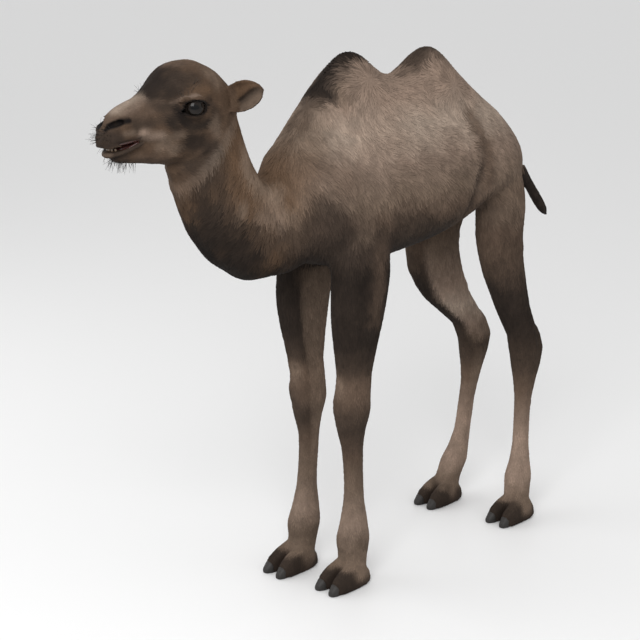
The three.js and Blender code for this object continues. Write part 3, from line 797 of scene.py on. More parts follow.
HEAD_MARKS_AND_PAINTED_LIGHT = [
    (BLACK * 0.75, [(0, -664, 1340), (0, -636, 1368), (0, -604, 1384)], 36, 22, 0.95),
    (BLACK * 0.85, [(16, -660, 1322), (36, -634, 1342), (46, -604, 1356)], 20, 16, 0.85),
    (DARK * 0.6, [(34, -664, 1312), (44, -642, 1316), (52, -616, 1328)], 16, 12, 0.9),
    (DARK * 0.8, [(44, -654, 1298), (60, -628, 1298)], 9, 8, 0.85),
    # painted sheen: the lighter band along the crown stands in for the grey sheen of the coat seen at a
    # grazing angle
    (BROWN * 1.35, [(0, -575, 1390), (0, -520, 1382), (0, -470, 1356)], 30, 26, 0.75),
    (UMBER * 0.8, [(52, -602, 1346), (54, -568, 1352)], 20, 16, 0.8),
    (FAWN * 0.85, [(50, -520, 1358), (52, -505, 1340)], 16, 16, 0.7),
    (PALE * 0.84, [(0, -698, 1312), (0, -718, 1306), (0, -740, 1298)], 22, 14, 0.88),
    (TAN * 0.72, [(24, -730, 1289), (26, -712, 1296), (20, -684, 1308)], 11, 12, 0.7),
    (BROWN, [(0, -762, 1280), (14, -757, 1278)], 12, 9, 0.8),
    (BROWN * 0.85, [(42, -652, 1298), (40, -690, 1284), (36, -716, 1276)], 14, 12, 0.8),
    (UMBER * 0.75, [(60, -640, 1276), (50, -680, 1264), (42, -716, 1260)], 15, 12, 0.85),
    (UMBER * 0.7, [(46, -655, 1296), (60, -626, 1292), (60, -630, 1262)], 12, 10, 0.8),
    (BLACK * 0.5, [(64, -622, 1288), (62, -616, 1270)], 9, 8, 0.85),
    (RUST * 0.95, [(80, -580, 1334), (78, -545, 1326)], 13, 12, 0.85),
    (TAN * 0.8, [(60, -634, 1305), (70, -617, 1313), (75, -594, 1317), (73, -572, 1314)], 5.5, 5, 0.9),
    (DARK * 0.7, [(84, -540, 1300), (80, -525, 1275), (78, -520, 1250)], 14, 14, 0.75),
    (BLACK * 0.5, [(70, -622, 1284), (66, -610, 1262), (76, -584, 1252), (80, -552, 1256)], 12, 10, 0.94),
    (BLACK * 0.55, [(58, -634, 1262), (56, -622, 1246)], 13, 12, 0.8),
    (DARK * 0.6, [(70, -590, 1246), (72, -560, 1246), (74, -540, 1256)], 9, 8, 0.9),
    (BROWN * 0.8, [(82, -596, 1262), (86, -566, 1262)], 5, 5, 0.6),
    (DARK * 0.58, [(64, -588, 1218), (62, -558, 1206), (62, -530, 1190)], 22, 16, 0.88),
    (FAWN * 0.75, [(72, -524, 1250), (68, -510, 1228)], 15, 13, 0.8),
    (UMBER * 0.75, [(66, -520, 1186), (60, -550, 1164), (40, -572, 1152)], 22, 18, 0.85),
    (TAN * 0.98, [(42, -698, 1241), (42, -678, 1234), (45, -655, 1232)], 12, 10, 0.92),
    (FAWN * 0.7, [(48, -632, 1230), (60, -610, 1230)], 10, 10, 0.8),
    (FAWN * 0.85, [(44, -650, 1212), (46, -620, 1202)], 17, 13, 0.75),
    (BROWN * 1.0, [(24, -700, 1182), (30, -640, 1176)], 15, 12, 0.7),
    (DARK * 0.9, [(0, -785, 1240), (22, -777, 1240), (34, -757, 1237)], 15, 9, 0.88),
    (FAWN * 0.8, [(40, -742, 1247), (42, -722, 1247)], 7, 6, 0.75),
    (DARK * 0.62, [(0, -786, 1222), (24, -774, 1222), (38, -748, 1226), (45, -706, 1234)], 6, 5, 0.85),
    (DARK * 0.75, [(20, -766, 1268), (30, -756, 1274), (38, -738, 1279)], 8, 6, 0.85),
    # painted shade: the nostril's slit and the hollow behind it are painted near black, standing in for the
    # shade inside them
    (BLACK * 0.22, NOSTRIL, 6.5, 3, 0.97),
    (BLACK * 0.22, NOSTRIL_HOLLOW, 8.5, 2.5, 0.97),
    (DARK, [(0, -772, 1203), (20, -762, 1205), (34, -734, 1211), (42, -708, 1220)], 7, 4, 0.85),
    (FAWN * 0.9, [(0, -774, 1202), (14, -768, 1203)], 5, 4, 0.6),
    (BLACK * 0.7, [(0, -758, 1190), (20, -750, 1194), (33, -728, 1198), (42, -700, 1208)], 6, 6, 0.85),
    (DARK * 0.8, [(0, -748, 1182), (20, -735, 1180)], 12, 9, 0.7),
    (BLACK * 0.6, [(46, -708, 1229), (50, -694, 1230)], 6, 5, 0.9),
]
MOTTLE, BLOTCH, STREAK = Noise(34, 11), Noise(90, 12), Noise((10, 10, 15), 13)


def rows_colour(rows, z):
    """Colours at heights, from rows of height and colour."""
    places = [row[0] for row in rows]
    return np.stack([np.interp(z, places, [row[1][c] for row in rows]) for c in range(3)], axis=1)


def marked(colour, q, marks, amount):
    """Colours with the marks laid over them, their edges broken up by the mottling."""
    for shade, line, radius, soft, strength in marks:
        if len(line) == 1:
            near = np.linalg.norm(q - np.array(line[0], float), axis=1)
        else:
            near, _ = line_distance(q, line)
        near = near + 0.45 * soft * MOTTLE(q * 1.7)
        weight = strength * (1 - smoothstep(near, radius - soft, radius + soft)) * amount
        colour = towards(colour, shade, weight)
    return colour


def coat_colour(p, normal):
    """The coat's colour at points of the skin, linear, with painted shade and painted light laid into it
    where noted.
    """
    q = on_left(p)
    part = parts_of(q)
    z = q[:, 2] + 16 * MOTTLE(p)
    body = marked(rows_colour(FLANK_ROWS, z), q, MARKS, 1 - part["head"])
    is_fore = q[:, 1] < MIDWAY_Y
    fore = is_fore[:, None]
    leg = np.where(fore, rows_colour(FORE_ROWS, z), rows_colour(HIND_ROWS, z))
    # The inner faces of the legs are given their paler coat; on the forelegs the lift towards FAWN * 1.3 is
    # painted light as well, brightening faces that the trunk and the other leg keep in shade.
    inward = 0.5 * normal[:, 1] - normal[:, 0] * np.sign(p[:, 0])
    inward = np.where(is_fore, 0.7 * smoothstep(inward, 0.6, 1.05), smoothstep(inward, 0.3, 0.85))
    inward *= smoothstep(q[:, 2], 150, 420)
    inner = np.where(fore, FAWN * 1.3, rows_colour(INNER_ROWS, z))
    leg = towards(leg, inner, 0.85 * inward)
    straight = straightened(p)
    leg = marked(leg, straight, LEG_MARKS, 1.0)
    ahead = np.where(is_fore, FORE_FOOT[1], HIND_FOOT[1]) - straight[:, 1]
    toe = smoothstep(ahead, 0, 34) * (1 - smoothstep(z - 0.25 * ahead, 34, 58))
    leg = towards(leg, DARK * 0.75, 0.92 * toe)
    on_leg = np.where(is_fore, 1 - smoothstep(q[:, 2], 830, 930), 1 - smoothstep(q[:, 2], 860, 990))
    neck = marked(np.tile(RUST * 0.7, (len(q), 1)), q, NECK_MARKS, 1.0)
    head = marked(np.tile((RUST + BROWN) * 0.32, (len(q), 1)), q, HEAD_MARKS_AND_PAINTED_LIGHT, 1.0)
    opening, out = eye_opening(q)
    rim = smoothstep(-opening, -5.5, -2.5) * (out > -4) * (np.linalg.norm(q - EYE, axis=1) < 48)
    head = towards(head, BLACK * 0.35, 0.95 * rim)
    faces_front = (normal * side_signs(p)) @ EAR_FRONT
    share, _, _, _, fold = ear_frame(q)
    inside = smoothstep(faces_front, 0.1, 0.6) * smoothstep(-fold, -3, 6)
    # painted shade: along the ear's fold, under the upper half that rolls over it, the colour goes towards
    # near black, standing in for the shadow in the crease; the paler inner face is the ear's own colour
    painted_fold_shade = np.exp(-((np.minimum(fold, 0) / 15) ** 2) - ((np.maximum(fold, 0) / 4) ** 2))
    painted_fold_shade = np.where(faces_front > -0.2, painted_fold_shade, 0)
    ears = RUST * 0.65 + (FAWN * 0.85 - RUST * 0.65) * inside[:, None]
    ears = towards(ears, BLACK * 0.5, 0.95 * painted_fold_shade * (1 - 0.5 * share))
    colour = mix(body, leg, on_leg)
    for goal, name in ((neck, "neck"), (head, "head"), (ears, "ear"), (BLACK * 1.15, "tail")):
        colour = mix(colour, goal, part[name])
    # painted shade: faces turned downwards, from above the hocks up, are darkened by up to 42 per cent,
    # standing in for the shade under the belly, chest, neck and jaw
    painted_underside_shade = smoothstep(-normal[:, 2], 0.05, 0.85) * smoothstep(q[:, 2], 480, 620)
    tone = (1 + 0.09 * BLOTCH(p) + 0.08 * MOTTLE(p)) * (1 - 0.42 * painted_underside_shade)
    return np.clip(colour * tone[:, None] * ALBEDO_GAIN, 0.004, 0.8)


# ------------------------------------------------------------------ the unwrap
ON_BODY, ON_NECK, ON_HEAD, ON_LEGS, ON_EARS, ON_TAIL = 0, 1, 2, (3, 4, 5, 6), (7, 8, 9, 10), 11
LEG_CENTRES = ((85, -95), (-85, -110), (104, 545), (-104, 515))
TAIL_ROOT, TAIL_AXIS = (0, TAIL_START, 1000), unit(np.array([0, 200.0, -228.0]))
ISLANDS = np.array([  # the lower left corner of each in the map
    (0.01, 0.50), (0.52, 0.70), (0.52, 0.47), (0.01, 0.01), (0.23, 0.01), (0.45, 0.01), (0.67, 0.01),
    (0.80, 0.84), (0.80, 0.74), (0.90, 0.84), (0.90, 0.74), (0.80, 0.66),
])
MAP_SCALE = 1 / 2700


def island_of(p, normal):
    """The island of the map that each point belongs to."""
    part = parts_of(on_left(p))
    right, behind = p[:, 0] <= 0, p[:, 1] >= MIDWAY_Y
    island = np.full(len(p), ON_BODY)
    island[part["neck"] > 0.5] = ON_NECK
    island[part["head"] > 0.5] = ON_HEAD
    island = np.where(p[:, 2] < LEG_TOP_Z, ON_LEGS[0] + right + 2 * behind, island)
    ear_back = (normal * side_signs(p)) @ EAR_FRONT <= 0
    island = np.where(part["ear"] > 0.5, ON_EARS[0] + 2 * right + ear_back, island)
    island[part["tail"] > 0.5] = ON_TAIL
    return island


def unwrapped(p, island, reference=None):
    """Map coordinates of points on their islands, and their angles round them, kept near a reference."""
    along, around, radius = np.zeros(len(p)), np.zeros(len(p)), np.full(len(p), 60.0)
    def put(k, length, angle, r):
        here = island == k
        along[here], around[here], radius[here] = length[here], angle[here], r
    put(ON_BODY, p[:, 1] + 330, np.arctan2(p[:, 0], p[:, 2] - 1040), 150)
    place, _ = near_neck(p)
    y, z = (np.interp(place, np.linspace(0, 1, len(NECK_LINE)), NECK_LINE[:, i]) for i in range(2))
    put(ON_NECK, place * 470, np.arctan2(p[:, 0], (p[:, 1] - y) * 0.75 + (p[:, 2] - z) * 0.65), 88)
    put(ON_HEAD, p[:, 1] + 800, np.arctan2(p[:, 0], p[:, 2] - 1262), 72)
    for k, (x, y) in zip(ON_LEGS, LEG_CENTRES):
        shift = np.interp(p[:, 2], [0, 480, 850], [0, 30, -80]) if k in ON_LEGS[2:] else 0
        put(k, p[:, 2], np.arctan2(p[:, 0] - x, -(p[:, 1] - y - shift)), 40)
    arm = on_left(p) - EAR_BASE
    for k in ON_EARS:
        put(k, arm @ EAR_AXIS, arm @ EAR_RISE / 60, 60)
    arm = p - TAIL_ROOT
    put(ON_TAIL, arm @ TAIL_AXIS, np.arctan2(arm[:, 0], arm[:, 1] * 0.75 + arm[:, 2] * 0.66), 12)
    wraps = (island < ON_EARS[0]) | (island == ON_TAIL)
    if reference is not None:
        turn = np.mod(around - reference + np.pi, 2 * np.pi) - np.pi
        around = np.where(wraps, reference + turn, around)
    lengthways = along * MAP_SCALE
    sideways = (around * radius + np.where(wraps, np.pi, 0.75) * radius) * MAP_SCALE
    upright = np.isin(island, ON_LEGS)
    u = ISLANDS[island, 0] + np.where(upright, sideways * 1.4, lengthways)
    v = ISLANDS[island, 1] + np.where(upright, lengthways, sideways)
    return np.stack([u, v], axis=1), around


def lay_out(obj, uv):
    """Gives a mesh its map coordinates, corner by corner."""
    layer = obj.data.uv_layers.new(name="OFBake")
    layer.data.foreach_set("uv", np.asarray(uv, np.float32).ravel())


# ------------------------------------------------------------------ materials
def grained(name, roughness, grain, tones=(0.85, 1.15), bump=0.0, coat=0.0, specular=0.5,
            spread=0.0, detail=4, depth=0.0006):
    """A material coloured by its mesh, with a fine grain in its tone and, if asked, its height and polish."""
    material = bpy.data.materials.new(name)
    material.use_nodes = True
    nodes, links = material.node_tree.nodes, material.node_tree.links
    shader = nodes["Principled BSDF"]
    place = nodes.new("ShaderNodeTexCoord")
    noise = nodes.new("ShaderNodeTexNoise")
    noise.inputs["Scale"].default_value = grain
    noise.inputs["Detail"].default_value = detail
    links.new(place.outputs["Object"], noise.inputs["Vector"])
    def ranged(low, high):
        node = nodes.new("ShaderNodeMapRange")
        node.inputs["To Min"].default_value, node.inputs["To Max"].default_value = low, high
        links.new(noise.outputs["Fac"], node.inputs["Value"])
        return node.outputs["Result"]
    shade = nodes.new("ShaderNodeAttribute")
    shade.attribute_name = "shade"
    toned = nodes.new("ShaderNodeVectorMath")
    toned.operation = "SCALE"
    links.new(shade.outputs["Color"], toned.inputs[0])
    links.new(ranged(*tones), toned.inputs["Scale"])
    links.new(toned.outputs["Vector"], shader.inputs["Base Color"])
    shader.inputs["Roughness"].default_value = roughness
    if spread:
        links.new(ranged(roughness - spread, roughness + spread), shader.inputs["Roughness"])
    if bump:
        node = nodes.new("ShaderNodeBump")
        node.inputs["Strength"].default_value, node.inputs["Distance"].default_value = bump, depth
        links.new(noise.outputs["Fac"], node.inputs["Height"])
        links.new(node.outputs["Normal"], shader.inputs["Normal"])
    shader.inputs["Coat Weight"].default_value = coat
    shader.inputs["Specular IOR Level"].default_value = specular
    return material


COAT, SKIN = (
    grained(name, 0.8, 210, (0.74, 1.26), bump=0.25, specular=0.12, spread=0.1, detail=3, depth=0.001)
    for name in ("coat", "skin")
)
EYE_SURFACE = grained("eye", 0.3, 900, coat=0.4, specular=0.0)
HAIR = grained("hair", 0.45, 200)
GUM = grained("gum", 0.35, 260, (0.7, 1.3), bump=0.35, coat=0.25)
TOOTH = grained("tooth", 0.3, 300, (0.8, 1.15), bump=0.2, coat=0.3)
NAIL = grained("nail", 0.6, 340, (0.7, 1.3), bump=0.45)

# ------------------------------------------------------------------ the skin
VALUES = field_over(SKIN_AXES)
points, quads = extract(SKIN_AXES, VALUES)


def off_skin(p):
    """Distance of points outside the skin, read from its own uneven grid."""
    first, share = [], []
    for axis, places in enumerate(SKIN_AXES):
        k = np.clip(np.searchsorted(places, p[:, axis]) - 1, 0, len(places) - 2)
        first.append(k)
        share.append(np.clip((p[:, axis] - places[k]) / (places[k + 1] - places[k]), 0, 1))
    return between_crossings(VALUES, first, share)


def outward(p, h=2.5):
    """The direction straight out of the skin at points."""
    return unit(np.stack([off_skin(p + h * e) - off_skin(p - h * e) for e in np.eye(3)], axis=1))


skin = make_object("skin", [points], [quads], [coat_colour(points, outward(points)) * 0.9], material=SKIN)
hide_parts(*[n for n in FLESH if "nail" not in n])
rings = points[quads]
middles = rings.mean(1)
islands = island_of(middles, outward(middles))
_, angles = unwrapped(middles, islands)
lay_out(skin, unwrapped(rings.reshape(-1, 3), np.repeat(islands, 4), np.repeat(angles, 4))[0])

# ------------------------------------------------------------------ the coat
def tuft_plan(q):
    """Spacing, length and width of the tufts at points, in millimetres, and how much they wave."""
    part = parts_of(q)
    head, legs = part["head"], part["legs"]
    plan = np.tile([[5.6], [25.0], [3.9], [0.5]], len(q))
    for share, goal in (
        (smoothstep(q[:, 2], 1200, 1260) * (q[:, 1] > -250), (5.3, 30, 4.0, 0.7)),
        (part["neck"], (5.2, 34, 4.1, 1.0)),
        (legs, (5.3, 17, 3.3, 0.35)),
        (legs * (1 - smoothstep(q[:, 2], 470, 640)), (4.5, 11, 2.5, 0.2)),
        (part["feet"], (3.9, 7.5, 2.0, 0.2)),
        (head, (4.0, 11, 2.5, 0.3)),
        (head * smoothstep(-q[:, 1], 620, 700), (3.1, 6, 1.7, 0.15)),
        (head * smoothstep(-q[:, 1], 735, 765), (2.9, 4, 1.5, 0.1)),
        (part["ear"], (3.1, 6.5, 1.8, 0.15)),
        (part["tail"], (4.0, 22, 2.8, 0.3)),
    ):
        plan += (np.array(goal)[:, None] - plan) * share
    return plan


def bare(q):
    """Where no tufts grow: nostrils, lips, inside the mouth, the eye's rim, soles."""
    opening, out = eye_opening(q)
    eye = (opening < 3.5) & (out > 0) & (np.linalg.norm(q - EYE, axis=1) < EYE_RADIUS + 12)
    lips = (line_distance(q, MOUTH_LINE)[0] < 6.5) | (
        (q[:, 0] < 34) & (q[:, 1] > -785) & (q[:, 1] < -690) & (np.abs(q[:, 2] - 1215) < 11)
    )
    nose = (line_distance(q, NOSTRIL)[0] < 7.5) | (line_distance(q, NOSTRIL_HOLLOW)[0] < 10.5)
    return eye | lips | nose | (q[:, 2] < 5)


diagonals = np.cross(rings[:, 2] - rings[:, 0], rings[:, 3] - rings[:, 1])
areas = np.linalg.norm(diagonals, axis=1) / 2
wanted = np.cumsum(areas / tuft_plan(on_left(middles))[0] ** 2)
count = np.diff(np.floor(np.concatenate([[0], wanted]))).astype(int)
face = np.repeat(np.arange(len(quads)), count)
a, b = rng.random((2, len(face), 1))
ring = rings[face]
roots = mix(mix(ring[:, 0], ring[:, 1], a), mix(ring[:, 3], ring[:, 2], a), b)
grows = ~bare(on_left(roots))
roots, face = roots[grows], face[grows]
normals = outward(roots)
way = lie(roots, normals)
even = (way * lie(roots + 9 * way, normals)).sum(axis=1) > 0.35  # no tufts where the coat's lie turns back
roots, face, normals = roots[even], face[even], normals[even]
root_q = on_left(roots)
_, length, width, wave = tuft_plan(root_q)
length *= rng.uniform(0.7, 1.25, len(roots))
width *= rng.uniform(0.75, 1.25, len(roots))
tint = rng.normal(0, 1, len(roots)) * 0.04 + 0.26 * STREAK(roots)
colours = coat_colour(roots, normals) * np.clip(1 + tint, 0.55, 1.6)[:, None]
parts = parts_of(root_q)
fine = 1 - (0.5 + 0.3 * smoothstep(-root_q[:, 1], 560, 700)) * parts["head"]
LONG_HAIR = 14
# shares of a tuft's length, heights over the skin and widths there, for long and for short tufts
LONG_TUFT = (0.0, 0.3, 0.68, 1.0), (-0.7, 1.1, 1.5, 0.5), (0.7, 1.0, 0.72, 0)
SHORT_TUFT = (0.0, 0.45, 1.0), (-0.6, 1.2, 0.5), (0.8, 1.0, 0)


def grow(chosen, shares, heights, spread):
    """Closed three-sided tufts over the skin: points, triangles, shares of length and shading normals."""
    step_from, at = roots[chosen], 0.0
    lift = rng.uniform(0.65, 1.15, len(chosen)) * (np.clip(length[chosen] / 24, 0.35, 1.3) * fine[chosen])
    phase = rng.uniform(0, 6.3, len(chosen))
    bend = wave[chosen] * rng.uniform(0.4, 1.2, len(chosen))
    stages, facing = [], []
    for share, height, across in zip(shares, heights, spread):
        normal = outward(step_from)
        way = lie(step_from, normal)
        side = np.cross(normal, way)
        sway = np.sin(phase + 5.2 * at) * bend * 0.32
        step = (share - at) * length[chosen]
        here = step_from + (way + side * sway[:, None]) * step[:, None]
        here = here - outward(here) * off_skin(here)[:, None]
        normal = outward(here)
        middle = here + normal * (height * lift)[:, None]
        if across > 0:
            half = (0.5 * across * width[chosen])[:, None]
            side = unit(np.cross(normal, way))
            thick = (0.13 * across * width[chosen] * (0.5 + 0.5 * fine[chosen]) + 0.08)[:, None]
            stages += [middle - side * half - normal * thick, middle + side * half - normal * thick,
                       middle + normal * thick]
            facing += [unit(normal - 0.35 * side), unit(normal + 0.35 * side), normal]
        else:
            stages.append(middle)
            facing.append(normal)
        step_from, at = here, share
    tip = len(stages) - 1
    tris = [(0, 1, 2)]
    for low in range(0, tip - 3, 3):
        for i, j in ((0, 1), (1, 2), (2, 0)):
            tris += [(low + j, low + i, low + 3 + i), (low + j, low + 3 + i, low + 3 + j)]
    tris += [(tip - 3 + j, tip - 3 + i, tip) for i, j in ((0, 1), (1, 2), (2, 0))]
    faces = np.array(tris)[:, ::-1] + len(stages) * np.arange(len(chosen))[:, None, None]
    at = np.tile(np.append(np.repeat(shares[:-1], 3), shares[-1]), (len(chosen), 1))
    verts, facing = (np.stack(rows, axis=1).reshape(-1, 3) for rows in (stages, facing))
    return verts, faces.reshape(-1, 3), at, facing


def add_tufts(name, chosen, slot):
    """One piece of the coat."""
    all_points, all_faces, all_colours, all_uv, all_facing, start = [], [], [], [], [], 0
    is_long = length[chosen] > LONG_HAIR
    for members, tuft in ((chosen[is_long], LONG_TUFT), (chosen[~is_long], SHORT_TUFT)):
        if len(members):
            verts, faces, at, facing = grow(members, *tuft)
            per = at.shape[1]
            all_points.append(verts)
            all_facing.append(facing)
            all_faces.append(faces + start)
            start += len(verts)
            # painted shade: each tuft is darker at its root and lighter towards its tip, standing in for the
            # shade down in the coat
            all_colours.append((colours[members][:, None] * (0.84 + 0.24 * at)[:, :, None]).reshape(-1, 3))
            uv, _ = unwrapped(roots[members], islands[face[members]], angles[face[members]])
            patch = np.stack([np.linspace(-0.0013, 0.0013, per), (np.arange(per) % 3 - 1) * 0.0012], axis=1)
            all_uv.append((uv[:, None] + patch[None]).reshape(-1, 2)[faces.ravel()])
    obj = make_object(name, all_points, all_faces, all_colours, material=COAT)
    lay_out(obj, np.concatenate(all_uv))
    obj.data.normals_split_custom_set_from_vertices(np.concatenate(all_facing).astype(np.float32))


is_head, is_ear, is_neck, is_tail = (parts[name] > 0.5 for name in ("head", "ear", "neck", "tail"))
is_leg = roots[:, 2] < LEG_TOP_Z
rest = ~(is_head | is_neck | is_leg | is_tail)
high = roots[:, 2] > BACK_Z
is_fore = roots[:, 1] < MIDWAY_Y
left = roots[:, 0] >= 0
for name, members, slot in (
    ("coat_head", is_head & ~is_ear, "coat_head"),
    ("coat_ears", is_ear, "coat_head"),
    ("coat_neck", is_neck & ~is_leg, "coat_neck"),
    ("coat_back_left", rest & high & left, "coat"),
    ("coat_back_right", rest & high & ~left, "coat"),
    ("coat_flank_left", rest & ~high & left, "coat"),
    ("coat_flank_right", rest & ~high & ~left, "coat"),
    ("coat_tail", is_tail & ~is_leg, "coat_dark"),
    ("coat_foreleg_left", is_leg & left & is_fore, "coat_dark"),
    ("coat_foreleg_right", is_leg & ~left & is_fore, "coat_dark"),
    ("coat_hindleg_left", is_leg & left & ~is_fore, "coat_dark"),
    ("coat_hindleg_right", is_leg & ~left & ~is_fore, "coat_dark"),
):
    add_tufts(name, np.flatnonzero(members), slot)

# ------------------------------------------------------------------ eyes
SIDES = (("left", 1), ("right", -1))
BALL_RADIUS = EYE_RADIUS - 0.1
IRIS_EDGE = 0.62, 0.74  # from the eye's axis, in radians
WHITE, IRIS, PUPIL = linear(36, 31, 28), linear(26, 21, 18), linear(8, 8, 9)


def ball_mesh(radius, rings, sides):
    """Points and quads of a sphere whose poles lie along +Z."""
    t, f = np.meshgrid(
        np.linspace(0, np.pi, rings + 1), np.linspace(0, 2 * np.pi, sides, endpoint=False), indexing="ij"
    )
    pts = radius * np.stack([np.sin(t) * np.cos(f), np.sin(t) * np.sin(f), np.cos(t)], axis=-1)
    index = np.arange((rings + 1) * sides).reshape(rings + 1, sides)
    turned = np.roll(index, -1, axis=1)
    quads = np.stack([index[:-1], index[1:], turned[1:], turned[:-1]], axis=-1).reshape(-1, 4)
    return pts.reshape(-1, 3), quads


def eyeball(side, sign):
    """An eye with its cornea, iris and a pupil that is wider than high."""
    pts, faces = ball_mesh(BALL_RADIUS, 48, 64)
    off_axis = np.arccos(np.clip(pts[:, 2] / BALL_RADIUS, -1, 1))
    pts *= (1 + 0.07 * (1 - smoothstep(off_axis, 0.3, 0.95)))[:, None]  # the cornea
    across, upward = pts[:, 0] / EYE_RADIUS, pts[:, 1] / EYE_RADIUS
    fibres = 1 + 0.25 * np.sin(np.arctan2(upward, across) * 40)
    colour = np.tile(WHITE, (len(pts), 1))
    colour = towards(colour, IRIS * fibres[:, None], 1 - smoothstep(off_axis, *IRIS_EDGE))
    colour = towards(colour, PUPIL, 1 - smoothstep(np.hypot(across / 0.42, upward / 0.24), 0.85, 1.05))
    colour[(off_axis > IRIS_EDGE[0] - 0.02) & (off_axis < IRIS_EDGE[1])] *= 0.4
    placed = (pts[:, :1] * EYE_BACK + pts[:, 1:2] * EYE_UP + pts[:, 2:] * EYE_AXIS + EYE) * [sign, 1, 1]
    obj = make_object(f"eyeball_{side}", [placed], [faces[:, ::sign]], [colour], material=EYE_SURFACE)
    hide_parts(f"eye_{side}")


for side, sign in SIDES:
    eyeball(side, sign)


# ------------------------------------------------------------------ whiskers, brow hairs and lashes
def tubes(name, lines, thick, thin, colour, material, sides=5):
    """Tapered round tubes along lists of points, in one piece."""
    all_points, all_faces, start = [], [], 0
    angle = np.linspace(0, 2 * np.pi, sides, endpoint=False)[None, :, None]
    for line in lines:
        ahead = unit(np.gradient(line, axis=0))
        side = unit(np.cross(ahead, [0.31, 0.2, 0.93]))
        up = np.cross(side, ahead)
        width = np.linspace(thick, thin, len(line))[:, None, None]
        ring = line[:, None] + width * (np.cos(angle) * side[:, None] + np.sin(angle) * up[:, None])
        index = np.arange(len(line) * sides).reshape(len(line), sides) + start
        turned = np.roll(index, -1, axis=1)
        foot, tip = start + index.size, start + index.size + 1
        all_faces += [
            np.stack([index[:-1], turned[1:], turned[:-1]], -1).reshape(-1, 3),
            np.stack([index[:-1], index[1:], turned[1:]], -1).reshape(-1, 3),
            np.stack([index[0], turned[0], np.full(sides, foot)], -1),
            np.stack([turned[-1], index[-1], np.full(sides, tip)], -1),
        ]
        all_points += [ring.reshape(-1, 3), line[:1], line[-1:]]
        start = tip + 1
    make_object(name, all_points, all_faces, [np.tile(colour, (start, 1))], material=material)


HAIR_BLACK = linear(26, 22, 20)


def bristles(name, spread, number, lengths, lean, thick, bend, seeds):
    """Stiff hairs standing on the skin round seed points, both sides, leaning one way."""
    draw = np.random.default_rng(len(name) * 7 + number)
    pick = draw.integers(0, len(seeds), number)
    start = np.asarray(seeds, float)[pick] + draw.normal(0, 1, (number, 3)) * spread
    start[:, 0] *= np.where(np.arange(number) % 2, 1, -1)
    for _ in range(3):
        start = start - outward(start, 2.0) * off_skin(start)[:, None]
    normal = outward(start)
    way = unit(normal + lean * side_signs(start) + draw.normal(0, 0.28, (number, 3)))
    curl = unit(draw.normal(0, 1, (number, 3)) + [0, 0, -0.8]) * bend
    reach = draw.uniform(*lengths, number)[:, None, None]
    k = np.linspace(0, 1, 6)[None, :, None]
    lines = start[:, None] - normal[:, None] * 1.5 + way[:, None] * reach * k + curl[:, None] * reach * k**2
    tubes(name, lines, thick, thick * 0.35, HAIR_BLACK, HAIR)


bristles("whiskers_lip", (6, 2, 7), 64, (10, 22), (0.0, -0.35, -0.05), 0.42, 0.22,
         [(6, -784, 1240), (16, -782, 1250), (10, -783, 1228), (22, -774, 1238), (14, -780, 1262)])
bristles("whiskers_chin", (6, 8, 2), 70, (11, 25), (0.0, -0.05, -0.5), 0.42, 0.2,
         [(8, -756, 1184), (14, -742, 1178), (16, -722, 1175), (10, -735, 1176), (18, -700, 1174)])
bristles("brow_hairs_front", (3, 5, 3), 14, (14, 30), (0.25, -0.45, 0.75), 0.42, 0.25,
         [(80, -620, 1320), (76, -612, 1328), (80, -606, 1324)])
bristles("brow_hairs_back", (3, 6, 3), 12, (16, 28), (0.1, 0.45, 0.9), 0.45, 0.15,
         [(68, -576, 1334), (64, -568, 1340), (72, -578, 1326)])


def lashes(side, sign):
    """Upper lashes, along the edge of the upper lid."""
    lines = []
    draw = np.random.default_rng(77)
    k = np.linspace(0, 1, 5)[:, None]
    for t in np.linspace(-0.9, 0.97, 34):
        u = LID_MIDDLE[0] + LID_HALF[0] * t
        v = LID_MIDDLE[1] + LID_HALF[1] * (1 - abs(t) ** LID_POWER) ** (1 / LID_POWER) + 0.5
        out = math.sqrt(max((EYE_RADIUS + 2.0) ** 2 - u * u - v * v, 9))
        root = EYE + EYE_AXIS * out + EYE_BACK * u + EYE_UP * v
        reach = draw.uniform(7, 11) * (1 - 0.35 * abs(t))
        way = unit(EYE_AXIS + EYE_UP * draw.uniform(-0.2, 0.15) + EYE_BACK * (0.5 * t + draw.normal(0, 0.08)))
        line = root - way * 1.5 + way * reach * k + EYE_UP * (2.2 * k**2 - 4.2 * k * (1 - k))
        lines.append(line * [sign, 1, 1])
    tubes(f"lashes_{side}", lines, 0.36, 0.12, HAIR_BLACK, HAIR)


for side, sign in SIDES:
    lashes(side, sign)


# ------------------------------------------------------------------ gums and teeth
def gum(name, thick, colour, half):
    """A rounded band round an arch, from points on its left half."""
    half = np.asarray(half, float)
    line = np.concatenate([half[::-1] * [-1, 1, 1], half[1:]])
    k = np.linspace(0, len(line) - 1, 41)
    line = np.stack([np.interp(k, np.arange(len(line)), line[:, i]) for i in range(3)], axis=1)
    for _ in range(4):
        line[1:-1] = (line[:-2] + 2 * line[1:-1] + line[2:]) / 4
    tubes(name, [line], thick, thick, colour, GUM, sides=10)


gum("gum_upper", 4.6, linear(56, 27, 22),
    [(0, -768, 1224), (13, -763, 1224), (23, -750, 1224), (29, -732, 1227), (32, -704, 1231)])
gum("gum_lower", 5.0, linear(60, 28, 23),
    [(0, -758, 1201), (10, -755, 1201), (17, -745, 1204), (23, -728, 1209), (30, -702, 1222)])
gum("mouth_floor", 8.0, linear(66, 28, 25),
    [(0, -738, 1206), (8, -735, 1207), (12, -720, 1212), (12, -702, 1218)])

TOOTH_COUNT, TOOTH_PITCH, TOOTH_RADII = 6, 6.2, np.array([2.7, 1.8, 6.0])
TOOTH_Y, TOOTH_Z, ARCH_CURVE = -759.5, 1208.0, 0.035
CROWN, ROOT = linear(112, 92, 72), linear(82, 58, 42)


